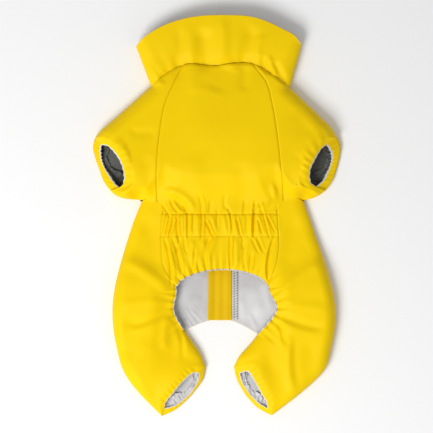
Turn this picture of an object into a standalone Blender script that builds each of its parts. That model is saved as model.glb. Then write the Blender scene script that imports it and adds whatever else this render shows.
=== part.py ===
"""Dog raincoat laid flat on its back, belly side up (+Z), head towards +Y, in metres.

Every cloth piece is a wall on a mapped grid. Its plan comes from short tables of seam and fold lines, and its
height from the same few functions for all pieces, so neighbours meet along their seams.
"""

import bmesh
import bpy
import numpy as np

MM = 0.001
WALL = 1.2  # cloth wall
GAP = 0.3  # between sewn pieces
CENTRE = (0.136, -0.694)  # of the whole outline in plan
MIDDLE_X = 4.0  # centre line of the garment and of its zip

# Heights of the outer faces above the resting plane.
FOLD_Z_UPPER = 7.0
FOLD_Z_COLLAR = 10.0
FOLD_Z_LOWER = 5.0
WAIST_EDGE_Z = 16.6
ROLL_UPPER = 24.0  # plan width over which the near layer rises from a fold
ROLL_LOWER = 20.0
ROLL_BACK = 8.0  # the same for the layer that rests below
WAIST_SLOPE = 50.0  # plan length over which the chest comes down to the waist
SIDE_SLOPE = 14.0  # the same for the sleeves
WAIST_HALF = (97.0, 102.0)  # the bodice's edge reaches the side folds this far from the middle
WAIST_DROP = 11.0  # and drops to them over this length
COLLAR_LIFT = 4.2  # the collar's back layer lies over the slider
COLLAR_LIFT_Y = (156.0, 184.0)

# Centre back zip.
PANEL_EDGE = 4.0  # half of the gap between the back panels
CHAIN_HALF = 2.5
CHAIN_Z = 0.2
CHAIN_THICK = 1.0
TAPE_HALF = 14.0
TAPE_Z = 1.5
TAPE_THICK = 1.0
ZIP_LOW_Y = -125.6
ZIP_TOP_Y = 229.0
CHAIN_TOP_Y = 219.0
GUARD_X = (-10.5, 25.5)
GUARD_Z = 2.8
GUARD_TOP_Y = 160.0
GUARD_FREE_LIFT = 1.5  # the guard's free edge stands up by this much
TAPE_SLIT = 0.2  # from the centre line to each tape's edge
SPLIT_HALF = 0.9  # the tapes part by this much to each side at the slider
SPLIT_Y = 214.0

# Slider and pull tab.
SLIDER_HALF = 4.0
SLIDER_Y = (216.0, 227.0)
SLIDER_PLATE = 1.0
SLIDER_NECK = (0.6, 222.0, 226.0)  # half width, from y, to y
BAIL_Y = (217.5, 225.5)
BAIL_HALF = 0.9
BAIL_THICK = 0.7
BAIL_ROOM = 1.8
EMBED = 0.2  # how far joined blocks reach into each other
PULL_AXIS_Y = 221.0
PULL_HALF = 2.7
PULL_LENGTH = 22.0
PULL_THICK = 0.9
EYE_HALF = 1.6
EYE_LENGTH = 5.0

# Stations of the grids, and where a seam ends or a fold starts along them.
SLEEVE_FOLD_U = 0.30  # the sleeve's edges are folds from here to the cuff
NECK_SHARE = 0.24  # part of the neck seam that each sleeve takes
BACK_NECK_SHARE = 0.4  # part of a side's back neck seam that the sleeve takes
CROTCH_V = 0.76  # the leg's edges are joined from here to the cuff
BELLY_V = 0.44  # the belly's seam on the leg ends here
SLEEVE_V = 14
LEG_U = 10
CUFF_STEPS = 3
CUFF_BULGE = 1.5
HIND_CUFF_BULGE = 1.0
SLEEVE_STATIONS = np.array([0.0, 0.08, 0.15, 0.23, 0.30, 0.38, 0.47, 0.56, 0.65, 0.74, 0.83, 0.92, 1.0])
LOW_STATIONS = [0.37, 0.44, 0.52, 0.60, 0.68, 0.76, 0.84, 0.92, 1.0]
LEG_STATIONS = np.concatenate([np.linspace(0.0, 0.30, 7), LOW_STATIONS])
NEAR = 0.0001  # two stations closer than this are the same
UNDERLAP = 7.0  # how far the leg's top lies under the sleeve
TOP_BACK_DROP = 4.0  # the collar's back edge lies this much lower than its front edge
COLLAR_GAP = 0.6  # round the neck seam

# Heights of each pair of cuffs: crest, mouth's ends, near lip, far lip, outline of the back.
SLEEVE_CUFF_Z = (33.0, 17.0, 27.5, 8.0, 3.5)
LEG_CUFF_Z = (19.5, 9.0, 15.5, 4.5, 2.6)

PLATEAU = (
    # y, height at the middle, height at the sides
    (240, 25, 20),
    (205, 25, 21),
    (180, 20, 20),
    (150, 25, 23),
    (100, 30, 28),
    (55, 30, 33),
    (25, 26, 26),
    (5, 22, 22),
)
PLATEAU_LOW = (
    # y, height at the belly, height at the leg
    (22, 14.4, 13.4),
    (0, 14.6, 15.5),
    (-25, 14.4, 17.5),
    (-50, 16.0, 20.0),
    (-85, 15.0, 22.0),
    (-140, 14.0, 22.0),
    (-185, 15.0, 20.0),
    (-245, 12.0, 15.0),
)
RAGLAN = (
    # v, left x, left y, right x, right y (belly side, neck to waist)
    (0.00, -41.0, 180.5, 43.0, 182.0),
    (0.12, -50.0, 162.0, 58.5, 162.0),
    (0.28, -61.5, 136.0, 66.0, 137.0),
    (0.50, -68.5, 98.0, 72.5, 98.0),
    (0.75, -72.0, 56.0, 77.0, 56.0),
    (1.00, -71.7, 12.9, 80.5, 16.0),
)
RAGLAN_BACK = (
    # v, left x, left y, right x, right y (back side, neck to waist)
    (0.00, -48.0, 166.0, 56.0, 166.0),
    (0.30, -62.0, 120.0, 70.0, 120.0),
    (0.60, -71.0, 72.0, 80.0, 72.0),
    (1.00, -80.0, 8.0, 90.0, 8.0),
)
BACK_NECK = (
    # u, left x, left y, right x, right y (back neck seam from the fold over the raglan to the zip)
    (0.0, -78.9, 155.4, 87.9, 153.2),
    (0.4, -48.0, 166.0, 56.0, 166.0),
    (1.0, 0.0, 169.0, 8.0, 169.0),
)
NECK = (
    # u, x, y (belly side neck seam from fold to fold)
    (0.00, -78.9, 155.4),
    (0.12, -59.7, 171.0),
    (0.24, -41.0, 180.5),
    (0.50, 0.0, 180.0),
    (0.63, 20.0, 183.0),
    (0.76, 43.0, 182.0),
    (0.88, 65.1, 169.8),
    (1.00, 87.9, 153.2),
)
COLLAR_TOP = (
    # u, x, y
    (0.00, -96.9, 203.0),
    (0.06, -89.0, 212.0),
    (0.15, -71.0, 224.0),
    (0.30, -42.0, 235.0),
    (0.55, 9.0, 240.0),
    (0.75, 50.0, 236.0),
    (0.88, 77.0, 224.5),
    (0.95, 94.0, 215.0),
    (1.00, 102.0, 205.0),
)
CHEST_LOW = (
    # u, x, y (lower edge of the chest, bloused over the waist)
    (0.00, -71.7, 12.9),
    (0.06, -64.5, 5.5),
    (0.25, -32.0, 2.4),
    (0.50, 4.0, 2.0),
    (0.75, 42.0, 2.4),
    (0.94, 72.0, 7.0),
    (1.00, 80.5, 16.0),
)
ARCH = (
    # u, x, y (hem of the lower belly)
    (0.00, -49.5, -86.0),
    (0.10, -42.5, -77.6),
    (0.25, -26.0, -69.8),
    (0.50, 4.0, -64.4),
    (0.75, 36.0, -68.2),
    (0.90, 54.5, -76.0),
    (1.00, 62.5, -85.5),
)
TAIL = (
    # u, x, y (hem of the back, from corner to corner)
    (0.00, -39.3, -138.6),
    (0.18, -23.7, -131.4),
    (0.35, -9.3, -126.8),
    (0.65, 18.3, -126.8),
    (0.82, 33.9, -133.8),
    (1.00, 49.5, -143.2),
)
SLEEVE_LEFT = (
    # u, upper x, upper y, lower x, lower y (from the raglan seam to the cuff)
    (0.00, -41.0, 180.5, -71.7, 12.9),
    (0.15, -59.7, 171.0, -82.0, 17.4),
    (0.30, -78.9, 155.4, -93.5, 18.8),
    (0.50, -100.0, 136.6, -105.0, 19.6),
    (0.75, -124.0, 115.3, -115.5, 21.6),
    (0.93, -142.0, 99.4, -124.0, 26.0),
    (1.00, -146.5, 93.0, -128.0, 30.0),
)
SLEEVE_RIGHT = (
    (0.00, 43.0, 182.0, 80.5, 16.0),
    (0.15, 65.1, 169.8, 93.5, 18.2),
    (0.30, 87.9, 153.2, 106.5, 18.9),
    (0.50, 106.0, 136.2, 112.0, 19.8),
    (0.75, 124.0, 119.0, 119.5, 22.6),
    (0.93, 139.0, 103.5, 127.0, 26.8),
    (1.00, 145.0, 93.5, 131.0, 30.0),
)
CUFF_LEFT = (
    # v, crest x, crest y, near lip x, y, far lip x, y, outline x, y
    (0.00, -146.5, 93.0, -138.0, 84.5, -138.0, 84.5, -146.5, 93.0),
    (0.15, -135.0, 94.0, -131.0, 83.0, -139.6, 78.0, -148.6, 84.0),
    (0.38, -113.0, 80.0, -119.5, 71.0, -138.0, 65.0, -146.4, 70.0),
    (0.62, -104.0, 60.0, -112.5, 55.0, -132.0, 52.0, -141.0, 55.0),
    (0.85, -106.0, 38.0, -112.0, 40.0, -121.5, 37.5, -135.0, 39.5),
    (1.00, -128.0, 30.0, -115.6, 33.0, -115.6, 33.0, -128.0, 30.0),
)
CUFF_RIGHT = (
    (0.00, 145.0, 93.5, 131.5, 84.5, 131.5, 84.5, 145.0, 93.5),
    (0.15, 131.0, 93.0, 126.0, 80.0, 137.0, 77.0, 148.6, 84.0),
    (0.38, 110.0, 75.0, 118.0, 67.0, 138.0, 66.0, 147.6, 70.0),
    (0.62, 103.0, 56.0, 112.0, 53.0, 133.6, 53.0, 143.8, 55.0),
    (0.85, 107.0, 36.0, 113.5, 39.0, 127.0, 41.0, 138.0, 40.0),
    (1.00, 131.0, 30.0, 119.0, 35.0, 119.0, 35.0, 131.0, 30.0),
)
LEG_LEFT = (
    # v, inner x, inner y, outer x, outer y, back seam x, back seam y (waist to cuff)
    (0.00, -64.5, 10.0, -90.5, 14.6, -80.0, 7.2),
    (0.10, -66.9, -14.0, -99.0, -5.0, -80.0, -14.0),
    (0.20, -67.0, -36.0, -106.5, -27.0, -79.0, -36.0),
    (0.30, -65.0, -58.0, -113.5, -50.0, -77.0, -60.0),
    (0.44, -49.5, -86.0, -122.2, -84.0, -73.0, -88.0),
    (0.60, -52.0, -114.0, -125.6, -120.0, -63.0, -115.0),
    (0.76, -39.3, -138.6, -120.0, -161.0, -39.3, -138.6),
    (0.84, -31.0, -150.0, -112.5, -187.0, -31.0, -150.0),
    (0.92, -20.6, -165.5, -95.0, -212.0, -20.6, -165.5),
    (1.00, -13.8, -182.0, -66.0, -241.4, -13.8, -182.0),
)
LEG_RIGHT = (
    (0.00, 72.0, 12.0, 104.6, 14.6, 90.0, 7.2),
    (0.10, 73.6, -14.0, 111.0, -2.0, 90.0, -14.0),
    (0.20, 74.6, -36.0, 118.5, -24.0, 90.0, -36.0),
    (0.30, 71.5, -57.0, 126.5, -46.0, 89.0, -60.0),
    (0.44, 62.5, -85.5, 137.0, -80.0, 86.0, -88.0),
    (0.60, 72.3, -113.5, 143.0, -116.0, 77.0, -118.0),
    (0.76, 49.5, -143.2, 138.0, -158.0, 49.5, -143.2),
    (0.84, 39.5, -155.5, 129.5, -186.0, 39.5, -155.5),
    (0.92, 27.0, -169.5, 102.0, -213.0, 27.0, -169.5),
    (1.00, 20.7, -182.0, 66.0, -240.6, 20.7, -182.0),
)
HIND_CUFF_LEFT = (
    # u, crest x, crest y, near lip x, y, far lip x, y, outline x, y (inner to outer)
    (0.00, -13.8, -182.0, -21.0, -191.0, -21.0, -191.0, -13.8, -182.0),
    (0.20, -34.0, -181.0, -27.5, -189.5, -23.0, -199.0, -16.6, -196.5),
    (0.45, -48.0, -193.5, -41.0, -200.5, -30.0, -211.5, -25.5, -210.0),
    (0.70, -60.0, -208.5, -53.0, -215.0, -41.0, -222.5, -38.5, -224.5),
    (0.88, -68.0, -222.0, -60.5, -224.5, -52.5, -229.5, -52.0, -235.0),
    (1.00, -66.0, -241.4, -63.0, -231.5, -63.0, -231.5, -66.0, -241.4),
)
HIND_CUFF_RIGHT = (
    (0.00, 20.7, -182.0, 28.2, -190.0, 28.2, -190.0, 20.7, -182.0),
    (0.20, 44.0, -178.0, 36.5, -188.0, 30.0, -199.0, 23.6, -195.0),
    (0.45, 54.5, -194.5, 45.5, -200.5, 35.6, -208.8, 30.2, -208.5),
    (0.70, 63.0, -211.5, 54.0, -215.5, 43.5, -218.8, 39.5, -221.5),
    (0.88, 68.0, -223.5, 59.5, -225.5, 52.0, -226.6, 51.5, -232.8),
    (1.00, 66.0, -240.6, 60.8, -231.5, 60.8, -231.5, 66.0, -240.6),
)
FOLDS = (
    # start x, start y, end x, end y, half width, height (a trough is negative)
    (-64, -8, -58, -52, 4.6, -2.6),
    (-47, 0, -46, -36, 4.2, -2.4),
    (-34, 2, -35, -40, 4.2, -2.2),
    (-20, 4, -20, -30, 4.4, -2.2),
    (-6, 0, -3, -54, 4.6, -2.8),
    (13, 0, 13, -34, 4.4, -2.2),
    (30, -2, 30, -36, 4.4, -2.4),
    (44, 2, 43, -40, 4.2, -2.2),
    (54, 0, 58, -44, 4.2, -2.4),
    (66, -8, 68, -50, 4.4, -2.4),
    (-110, -60, -64, -98, 9.0, 3.5),
    (-106, -134, -68, -114, 8.0, -3.5),
    (-58, -125, -60, -158, 8.0, 3.0),
    (124, -58, 70, -100, 9.0, 3.5),
    (74, -118, 110, -142, 8.0, -3.5),
    (-48, 182, -44, 212, 6.0, -3.0),
    (-16, 184, -12, 226, 7.0, -4.0),
    (22, 180, 32, 226, 7.0, -4.0),
    (58, 178, 72, 206, 6.0, -3.0),
    (6, 186, 8, 234, 7.0, 2.5),
    (52, 14, 66, 34, 6.0, 2.5),
    (-64, 26, -34, 14, 6.0, 2.5),
)


def curve(table, column, keys):
    """x and y of two neighbouring columns of a table, smoothed between its rows."""
    rows = np.array(table, float)
    key = rows[:, 0]
    found = []
    for values in (rows[:, column], rows[:, column + 1]):
        slope = np.gradient(values, key)
        keys = np.asarray(keys, float)
        at = np.clip(np.searchsorted(key, keys, side="right") - 1, 0, len(key) - 2)
        span = key[at + 1] - key[at]
        t = (keys - key[at]) / span
        start, end = values[at], values[at + 1]
        rise, fall = slope[at] * span, slope[at + 1] * span
        found.append(
            (2 * t**3 - 3 * t**2 + 1) * start
            + (t**3 - 2 * t**2 + t) * rise
            + (3 * t**2 - 2 * t**3) * end
            + (t**3 - t**2) * fall
        )
    return np.stack(found, axis=-1)


def straight(table, column, keys):
    """x and y of two neighbouring columns of a table, straight between its rows."""
    rows = np.array(table, float)
    return np.stack([np.interp(keys, rows[:, 0], rows[:, at]) for at in (column, column + 1)], axis=-1)


def neck_keys(us, side):
    """Stations on the neck seam for the sleeve's stations from its raglan seam to the fold."""
    keys = NECK_SHARE * (1.0 - us / SLEEVE_FOLD_U)
    return 1.0 - keys if side else keys


def level(table, column, y):
    """One height column of a table whose first column is y, running downwards."""
    rows = np.array(table[::-1], float)
    return np.interp(y, rows[:, 0], rows[:, column])


def ease(t):
    t = np.clip(t, 0.0, 1.0)
    return t * t * (3.0 - 2.0 * t)


def distance(x, y, line):
    """Plan distance from each point to a polyline."""
    point = np.stack([x, y], axis=-1)[..., None, :]
    start, along = line[:-1], line[1:] - line[:-1]
    t = ((point - start) * along).sum(-1) / (along**2).sum(-1)
    nearest = start + along * np.clip(t, 0.0, 1.0)[..., None]
    return np.sqrt(((point - nearest) ** 2).sum(-1)).min(-1)


def rise(d, width):
    """Quarter ellipse from 0 at a fold to 1 at its width."""
    return np.sqrt(1.0 - (1.0 - np.clip(d / width, 0.0, 1.0)) ** 2)


def fold_lines():
    """Plan lines of the folds: one list for the upper garment, one for the legs."""
    keys = np.linspace(SLEEVE_FOLD_U, 1.0, 29)
    whole = np.linspace(0.0, 1.0, 29)
    upper, lower = [], []
    for side, sleeve, leg in ((0, SLEEVE_LEFT, LEG_LEFT), (-1, SLEEVE_RIGHT, LEG_RIGHT)):
        corner = np.array(COLLAR_TOP[side][1:3], float)[None]
        upper.append(np.concatenate([corner, curve(sleeve, 1, keys)]))
        upper.append(curve(sleeve, 3, keys))
        lower.append(curve(leg, 3, whole))
        lower.append(curve(leg, 1, np.linspace(CROTCH_V, 1.0, 15)))
    return upper, lower


def waist_line():
    """Lower edge of the bodice: the sleeves' sewn part on each side of the chest's edge."""
    sewn = np.linspace(0.0, SLEEVE_FOLD_U, 9)
    left, right = curve(SLEEVE_LEFT, 3, sewn), curve(SLEEVE_RIGHT, 3, sewn)
    return np.concatenate([left[:0:-1], curve(CHEST_LOW, 1, np.linspace(0.0, 1.0, 31)), right[1:]])


UPPER_FOLDS, LOWER_FOLDS = fold_lines()
WAIST_LINE = waist_line()


def edge_height(x, y):
    """Height of the near layer's edge round the upper garment."""
    collar = (FOLD_Z_COLLAR - FOLD_Z_UPPER) * ease((y - 150.0) / 40.0)
    half = np.where(x > MIDDLE_X, WAIST_HALF[1], WAIST_HALF[0])
    inside = ease((half - np.abs(x - MIDDLE_X)) / WAIST_DROP) * ease((60.0 - y) / 30.0)
    waist = (WAIST_EDGE_Z - FOLD_Z_UPPER) * inside
    return FOLD_Z_UPPER + collar + waist


def folds(x, y):
    total = np.zeros_like(x)
    for x0, y0, x1, y1, width, height in FOLDS:
        ax, ay = x1 - x0, y1 - y0
        length = np.hypot(ax, ay)
        along = ((x - x0) * ax + (y - y0) * ay) / length**2
        across = ((x - x0) * ay - (y - y0) * ax) / length
        taper = ease(along / 0.3 + 0.4) * ease((1.0 - along) / 0.3 + 0.4)
        total += height * taper * np.exp(-((across / width) ** 2))
    return total


def near_upper(x, y):
    """Outer face of the chest, sleeves and collar on the belly side."""
    side = ease(np.abs(x - MIDDLE_X) / 120.0)
    top = level(PLATEAU, 1, y) * (1.0 - side) + level(PLATEAU, 2, y) * side
    edge = edge_height(x, y)
    d = np.min([distance(x, y, line) for line in UPPER_FOLDS], axis=0)
    slope = WAIST_SLOPE + (SIDE_SLOPE - WAIST_SLOPE) * ease((np.abs(x - MIDDLE_X) - 68.0) / 20.0)
    reach = rise(d, ROLL_UPPER) * ease(distance(x, y, WAIST_LINE) / slope)
    return edge + (top - edge) * reach + folds(x, y) * reach


def near_lower(x, y):
    """Outer face of the belly and legs on the belly side."""
    side = ease((np.abs(x - MIDDLE_X) - 52.0) / 34.0)
    top = level(PLATEAU_LOW, 1, y) * (1.0 - side) + level(PLATEAU_LOW, 2, y) * side
    d = np.min([distance(x, y, line) for line in LOWER_FOLDS], axis=0)
    reach = rise(d, ROLL_LOWER)
    return FOLD_Z_LOWER + (top - FOLD_Z_LOWER + folds(x, y)) * reach


def far_layer(x, y):
    """Outer face of the layer that rests below. It lifts only at its folds and under the collar."""
    lift = COLLAR_LIFT * ease((y - COLLAR_LIFT_Y[0]) / (COLLAR_LIFT_Y[1] - COLLAR_LIFT_Y[0]))
    upper = np.min([distance(x, y, line) for line in UPPER_FOLDS], axis=0)
    lower = np.min([distance(x, y, line) for line in LOWER_FOLDS], axis=0)
    upper_edge = FOLD_Z_UPPER + (FOLD_Z_COLLAR - FOLD_Z_UPPER) * ease((y - 150.0) / 40.0)
    up = (upper_edge - lift) * (1.0 - rise(upper, ROLL_BACK))
    down = FOLD_Z_LOWER * (1.0 - rise(lower, ROLL_BACK))
    return lift + np.maximum(up, down)


def clustered(count):
    return 0.5 - 0.5 * np.cos(np.pi * np.linspace(0.0, 1.0, count + 1))


def eased_patch(low, high, first, last, us, vs):
    """Plan grid [u, v] between two lines along u (at v = 0 and 1) and two along v (at u = 0 and 1)."""
    u, v = us[:, None, None], vs[None, :, None]
    ruled = (1 - v) * low[:, None] + v * high[:, None] + (1 - u) * first[None] + u * last[None]
    corners = (1 - u) * ((1 - v) * low[0] + v * high[0]) + u * ((1 - v) * low[-1] + v * high[-1])
    return ruled - corners


def surface(plan, height):
    return np.dstack([plan, height(plan[..., 0], plan[..., 1])])


def pulled(grid, *sides, gap=GAP / 2):
    """Moves the named sides of a grid inwards, to leave half of a seam's gap."""
    grid = grid.copy()
    inner = {"u0": (0, 1), "u1": (-1, -2)}
    for side in sides:
        if side in inner:
            edge, next_ = (grid[inner[side][0]], grid[inner[side][1]])
        else:
            edge, next_ = (grid[:, 0], grid[:, 1]) if side == "v0" else (grid[:, -1], grid[:, -2])
        step = next_ - edge
        edge += step * (gap / np.maximum(np.linalg.norm(step, axis=-1, keepdims=True), gap))
    return grid


def lip_strip(outer, lip, steps, bulge):
    """Rows from a line round a cuff to its lip, rolled over on the way."""
    swell = np.sin(np.pi * np.linspace(0.0, 1.0, len(lip)))
    swell[-1] = 0.0
    rows = []
    for w in np.linspace(0.0, 1.0, steps + 1)[1:]:
        row = outer * (1.0 - w) + lip * w
        row[:, 2] += bulge * swell * np.sin(np.pi * w)
        rows.append(row)
    return np.array(rows)


def placed(point):
    """A point in mm, moved so that the whole part is centred on the origin."""
    return ((point[0] - CENTRE[0]) * MM, (point[1] - CENTRE[1]) * MM, point[2] * MM)


def add_sheet(bm, grid, up):
    """Adds a mapped grid to the mesh, its outer face up or down."""
    rows, columns = grid.shape[0] - 1, grid.shape[1] - 1
    made = bmesh.ops.create_grid(bm, x_segments=rows, y_segments=columns, size=0.5)["verts"]
    for vert in made:
        i = round((vert.co.x + 0.5) * rows)
        j = round((vert.co.y + 0.5) * columns)
        vert.co = placed(grid[i, j])
    faces = list({face for vert in made for face in vert.link_faces})
    for face in faces:
        face.normal_update()
    if (sum(face.normal.z * face.calc_area() for face in faces) > 0) != up:
        bmesh.ops.reverse_faces(bm, faces=faces)


def material(name, color, roughness, metallic=0.0):
    made = bpy.data.materials.new(name)
    made.use_nodes = True
    shader = made.node_tree.nodes["Principled BSDF"]
    shader.inputs["Base Color"].default_value = (*color, 1.0)
    shader.inputs["Roughness"].default_value = roughness
    shader.inputs["Metallic"].default_value = metallic
    return made


def cloth(name, sheets, look, wall=WALL):
    """One named wall from its (grid, faces up) sheets, joined where their points meet."""
    bm = bmesh.new()
    for grid, up in sheets:
        add_sheet(bm, grid, up)
    bmesh.ops.remove_doubles(bm, verts=bm.verts, dist=0.00005)
    mesh = bpy.data.meshes.new(name)
    bm.to_mesh(mesh)
    bm.free()
    mesh.materials.append(look)
    for polygon in mesh.polygons:
        polygon.use_smooth = True
    obj = bpy.data.objects.new(name, mesh)
    PARTS.objects.link(obj)
    solid = obj.modifiers.new("wall", "SOLIDIFY")
    solid.thickness = wall * MM
    solid.offset = -1.0
    solid.use_rim = True
    return obj


def box(name, low, high, collection, look=None):
    bm = bmesh.new()
    bmesh.ops.create_cube(bm, size=1.0)
    middle = (np.array(low) + np.array(high)) / 2
    size = np.array(high) - np.array(low)
    for vert in bm.verts:
        vert.co = placed(middle + np.array(vert.co) * size)
    mesh = bpy.data.meshes.new(name)
    bm.to_mesh(mesh)
    bm.free()
    if look:
        mesh.materials.append(look)
    obj = bpy.data.objects.new(name, mesh)
    collection.objects.link(obj)
    return obj


def boolean(obj, other, operation):
    other.hide_render = True
    other.display_type = "WIRE"
    modifier = obj.modifiers.new(other.name, "BOOLEAN")
    modifier.operation = operation
    modifier.solver = "EXACT"
    modifier.object = other


def sleeve(name, outline, cuff, side, heights):
    """Raglan sleeve: near and far sheets that meet at the folds, then the roll to the cuff's lip."""
    columns = 1 + 2 * side
    us = SLEEVE_STATIONS
    vs = clustered(SLEEVE_V)
    crest_z, mouth_z, near_z, far_z, outline_z = heights
    folded = us >= SLEEVE_FOLD_U - NEAR
    upper, lower = curve(outline, 1, us), curve(outline, 3, us)
    upper[~folded] = curve(NECK, 1, neck_keys(us[~folded], side))
    crest, near_lip = curve(cuff, 1, vs), curve(cuff, 3, vs)
    far_lip, outer = curve(cuff, 5, vs), curve(cuff, 7, vs)
    near = surface(eased_patch(upper, lower, curve(RAGLAN, columns, vs), crest, us, vs), near_upper)
    swell = np.sin(np.pi * vs)
    near[-1, :, 2] = FOLD_Z_UPPER + (crest_z - FOLD_Z_UPPER) * np.sqrt(swell)
    near[-2, :, 2] = 0.5 * near[-2, :, 2] + 0.5 * near[-1, :, 2]
    near[folded, 0, 2] = near[folded, -1, 2] = FOLD_Z_UPPER
    back_waist = np.array([RAGLAN_BACK[-1][columns : columns + 2], outline[2][3:5]], float)
    share = np.clip(us / SLEEVE_FOLD_U, 0.0, 1.0)
    back_neck = straight(BACK_NECK, columns, BACK_NECK_SHARE * (1 - share))
    back_upper = np.where(folded[:, None], upper, back_neck)
    share = share[:, None]
    back_lower = np.where(folded[:, None], lower, back_waist[0] * (1 - share) + back_waist[1] * share)
    plan = eased_patch(back_upper, back_lower, curve(RAGLAN_BACK, columns, vs), outer, us, vs)
    far = surface(plan, far_layer)
    far[folded, 0, 2] = far[folded, -1, 2] = FOLD_Z_UPPER
    near[folded, 0, 2] += (FOLD_Z_COLLAR - FOLD_Z_UPPER) * ease((near[folded, 0, 1] - 150.0) / 40.0)
    far[folded, 0, 2] = near[folded, 0, 2]
    far[-1, :, 2] = FOLD_Z_UPPER + (outline_z - FOLD_Z_UPPER) * swell
    near_rim = np.column_stack([near_lip, mouth_z + (near_z - mouth_z) * swell])
    far_rim = np.column_stack([far_lip, mouth_z + (far_z - mouth_z) * swell])
    near_roll = lip_strip(near[-1], near_rim, CUFF_STEPS, CUFF_BULGE)
    far_roll = lip_strip(far[-1], far_rim, CUFF_STEPS, 0.0)
    near = pulled(near, "u0")
    far = pulled(far, "u0")
    open_ = np.flatnonzero(~folded)
    near[open_, 0] += pull_in(near[open_, 0], near[open_, 1])
    near[open_, -1] += pull_in(near[open_, -1], near[open_, -2])
    far[open_, 0] += pull_in(far[open_, 0], far[open_, 1])
    far[open_, -1] += pull_in(far[open_, -1], far[open_, -2])
    sheets = [(np.concatenate([near, near_roll]), True), (np.concatenate([far, far_roll]), False)]
    return cloth(name, sheets, YELLOW)


def pull_in(edge, inner, gap=GAP / 2):
    step = inner - edge
    return step * (gap / np.maximum(np.linalg.norm(step, axis=-1, keepdims=True), gap))


def leg(name, table, cuff, heights):
    """Hind leg: wraps from the belly seam over the outer fold to the back seam, closed below the crotch."""
    vs = LEG_STATIONS
    us = clustered(LEG_U)
    crest_z, mouth_z, near_z, far_z, outline_z = heights
    inner, outer, back = curve(table, 1, vs), curve(table, 3, vs), curve(table, 5, vs)
    joined = vs >= CROTCH_V - NEAR
    inner = np.where(joined[:, None], back, inner)
    under = np.stack([inner[0] * (1 - t) + outer[0] * t for t in us])
    under[:, 1] += UNDERLAP * np.sin(np.pi * us)
    crest, near_lip = curve(cuff, 1, us), curve(cuff, 3, us)
    far_lip, outline = curve(cuff, 5, us), curve(cuff, 7, us)
    near = surface(eased_patch(inner, outer, under, crest, vs, us), near_lower)
    top = np.stack([back[0] * (1 - t) + outer[0] * t for t in us])
    far = surface(eased_patch(back, outer, top, outline, vs, us), far_layer)
    near[:, -1, 2] = far[:, -1, 2] = FOLD_Z_LOWER
    near[joined, 0, 2] = far[joined, 0, 2] = FOLD_Z_LOWER
    swell = np.sin(np.pi * us)
    near[-1, :, 2] = FOLD_Z_LOWER + (crest_z - FOLD_Z_LOWER) * np.sqrt(swell)
    far[-1, :, 2] = FOLD_Z_LOWER + (outline_z - FOLD_Z_LOWER) * swell
    near_rim = np.column_stack([near_lip, mouth_z + (near_z - mouth_z) * swell])
    far_rim = np.column_stack([far_lip, mouth_z + (far_z - mouth_z) * swell])
    near_roll = lip_strip(near[-1], near_rim, CUFF_STEPS, HIND_CUFF_BULGE)
    far_roll = lip_strip(far[-1], far_rim, CUFF_STEPS, 0.0)
    sewn = np.flatnonzero(~joined)
    near[sewn, 0] += pull_in(near[sewn, 0], near[sewn, 1])
    far[sewn, 0] += pull_in(far[sewn, 0], far[sewn, 1])
    far = pulled(far, "u0")
    far[0, -1] = near[0, -1]
    sheets = [(np.concatenate([near, near_roll]), True), (np.concatenate([far, far_roll]), False)]
    return cloth(name, sheets, YELLOW)


def chest():
    vs = clustered(SLEEVE_V)
    us = np.linspace(0.0, 1.0, 13)
    top = curve(NECK, 1, NECK_SHARE + (1.0 - 2.0 * NECK_SHARE) * us)
    low = curve(CHEST_LOW, 1, us)
    plan = eased_patch(top, low, curve(RAGLAN, 1, vs), curve(RAGLAN, 3, vs), us, vs)
    grid = pulled(surface(plan, near_upper), "u0", "u1", "v0", "v1")
    return cloth("chest_panel", [(grid, True)], YELLOW)


def belly():
    vs = LEG_STATIONS[LEG_STATIONS <= BELLY_V + NEAR]
    us = np.linspace(0.0, 1.0, 37)
    left, right = curve(LEG_LEFT, 1, vs), curve(LEG_RIGHT, 1, vs)
    top = left[0] * (1 - us[:, None]) + right[0] * us[:, None]
    low = curve(ARCH, 1, us)
    plan = eased_patch(top, low, left, right, us, vs / vs[-1])
    grid = pulled(surface(plan, near_lower), "u0", "u1")
    return cloth("belly_panel", [(grid, True)], YELLOW)


def back(name, side):
    """Back panel from the neck seam to the tail hem, between the outer seams and the zip."""
    column = 1 + 2 * side
    leg_table = (LEG_LEFT, LEG_RIGHT)[side]
    sleeve_side = curve(RAGLAN_BACK, column, clustered(SLEEVE_V))
    leg_side = curve(leg_table, 5, LEG_STATIONS[(LEG_STATIONS > 0.0) & (LEG_STATIONS <= CROTCH_V + NEAR)])
    outer = np.concatenate([sleeve_side, leg_side])
    edge = MIDDLE_X + PANEL_EDGE * (1 if side else -1)
    tail = curve(TAIL, 1, np.linspace(0.0, 1.0, 41))
    tail_y = np.interp(edge, tail[:, 0], tail[:, 1])
    share = np.concatenate([[0.0], np.cumsum(np.linalg.norm(np.diff(outer, axis=0), axis=1))])
    share /= share[-1]
    neck_y = BACK_NECK[-1][2]
    inner = np.stack([np.full(len(share), edge), neck_y + (tail_y - neck_y) * share], axis=-1)
    us = clustered(6)
    neck = outer[0] * (1 - us[:, None]) + inner[0] * us[:, None]
    keys = np.interp(outer[-1, 0] + (edge - outer[-1, 0]) * us, tail[:, 0], np.linspace(0, 1, 41))
    hem = curve(TAIL, 1, keys)
    grid = surface(eased_patch(outer, inner, neck, hem, share, us), far_layer)
    return cloth(name, [(pulled(grid, "u0", "v0", "v1"), False)], YELLOW)


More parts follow.
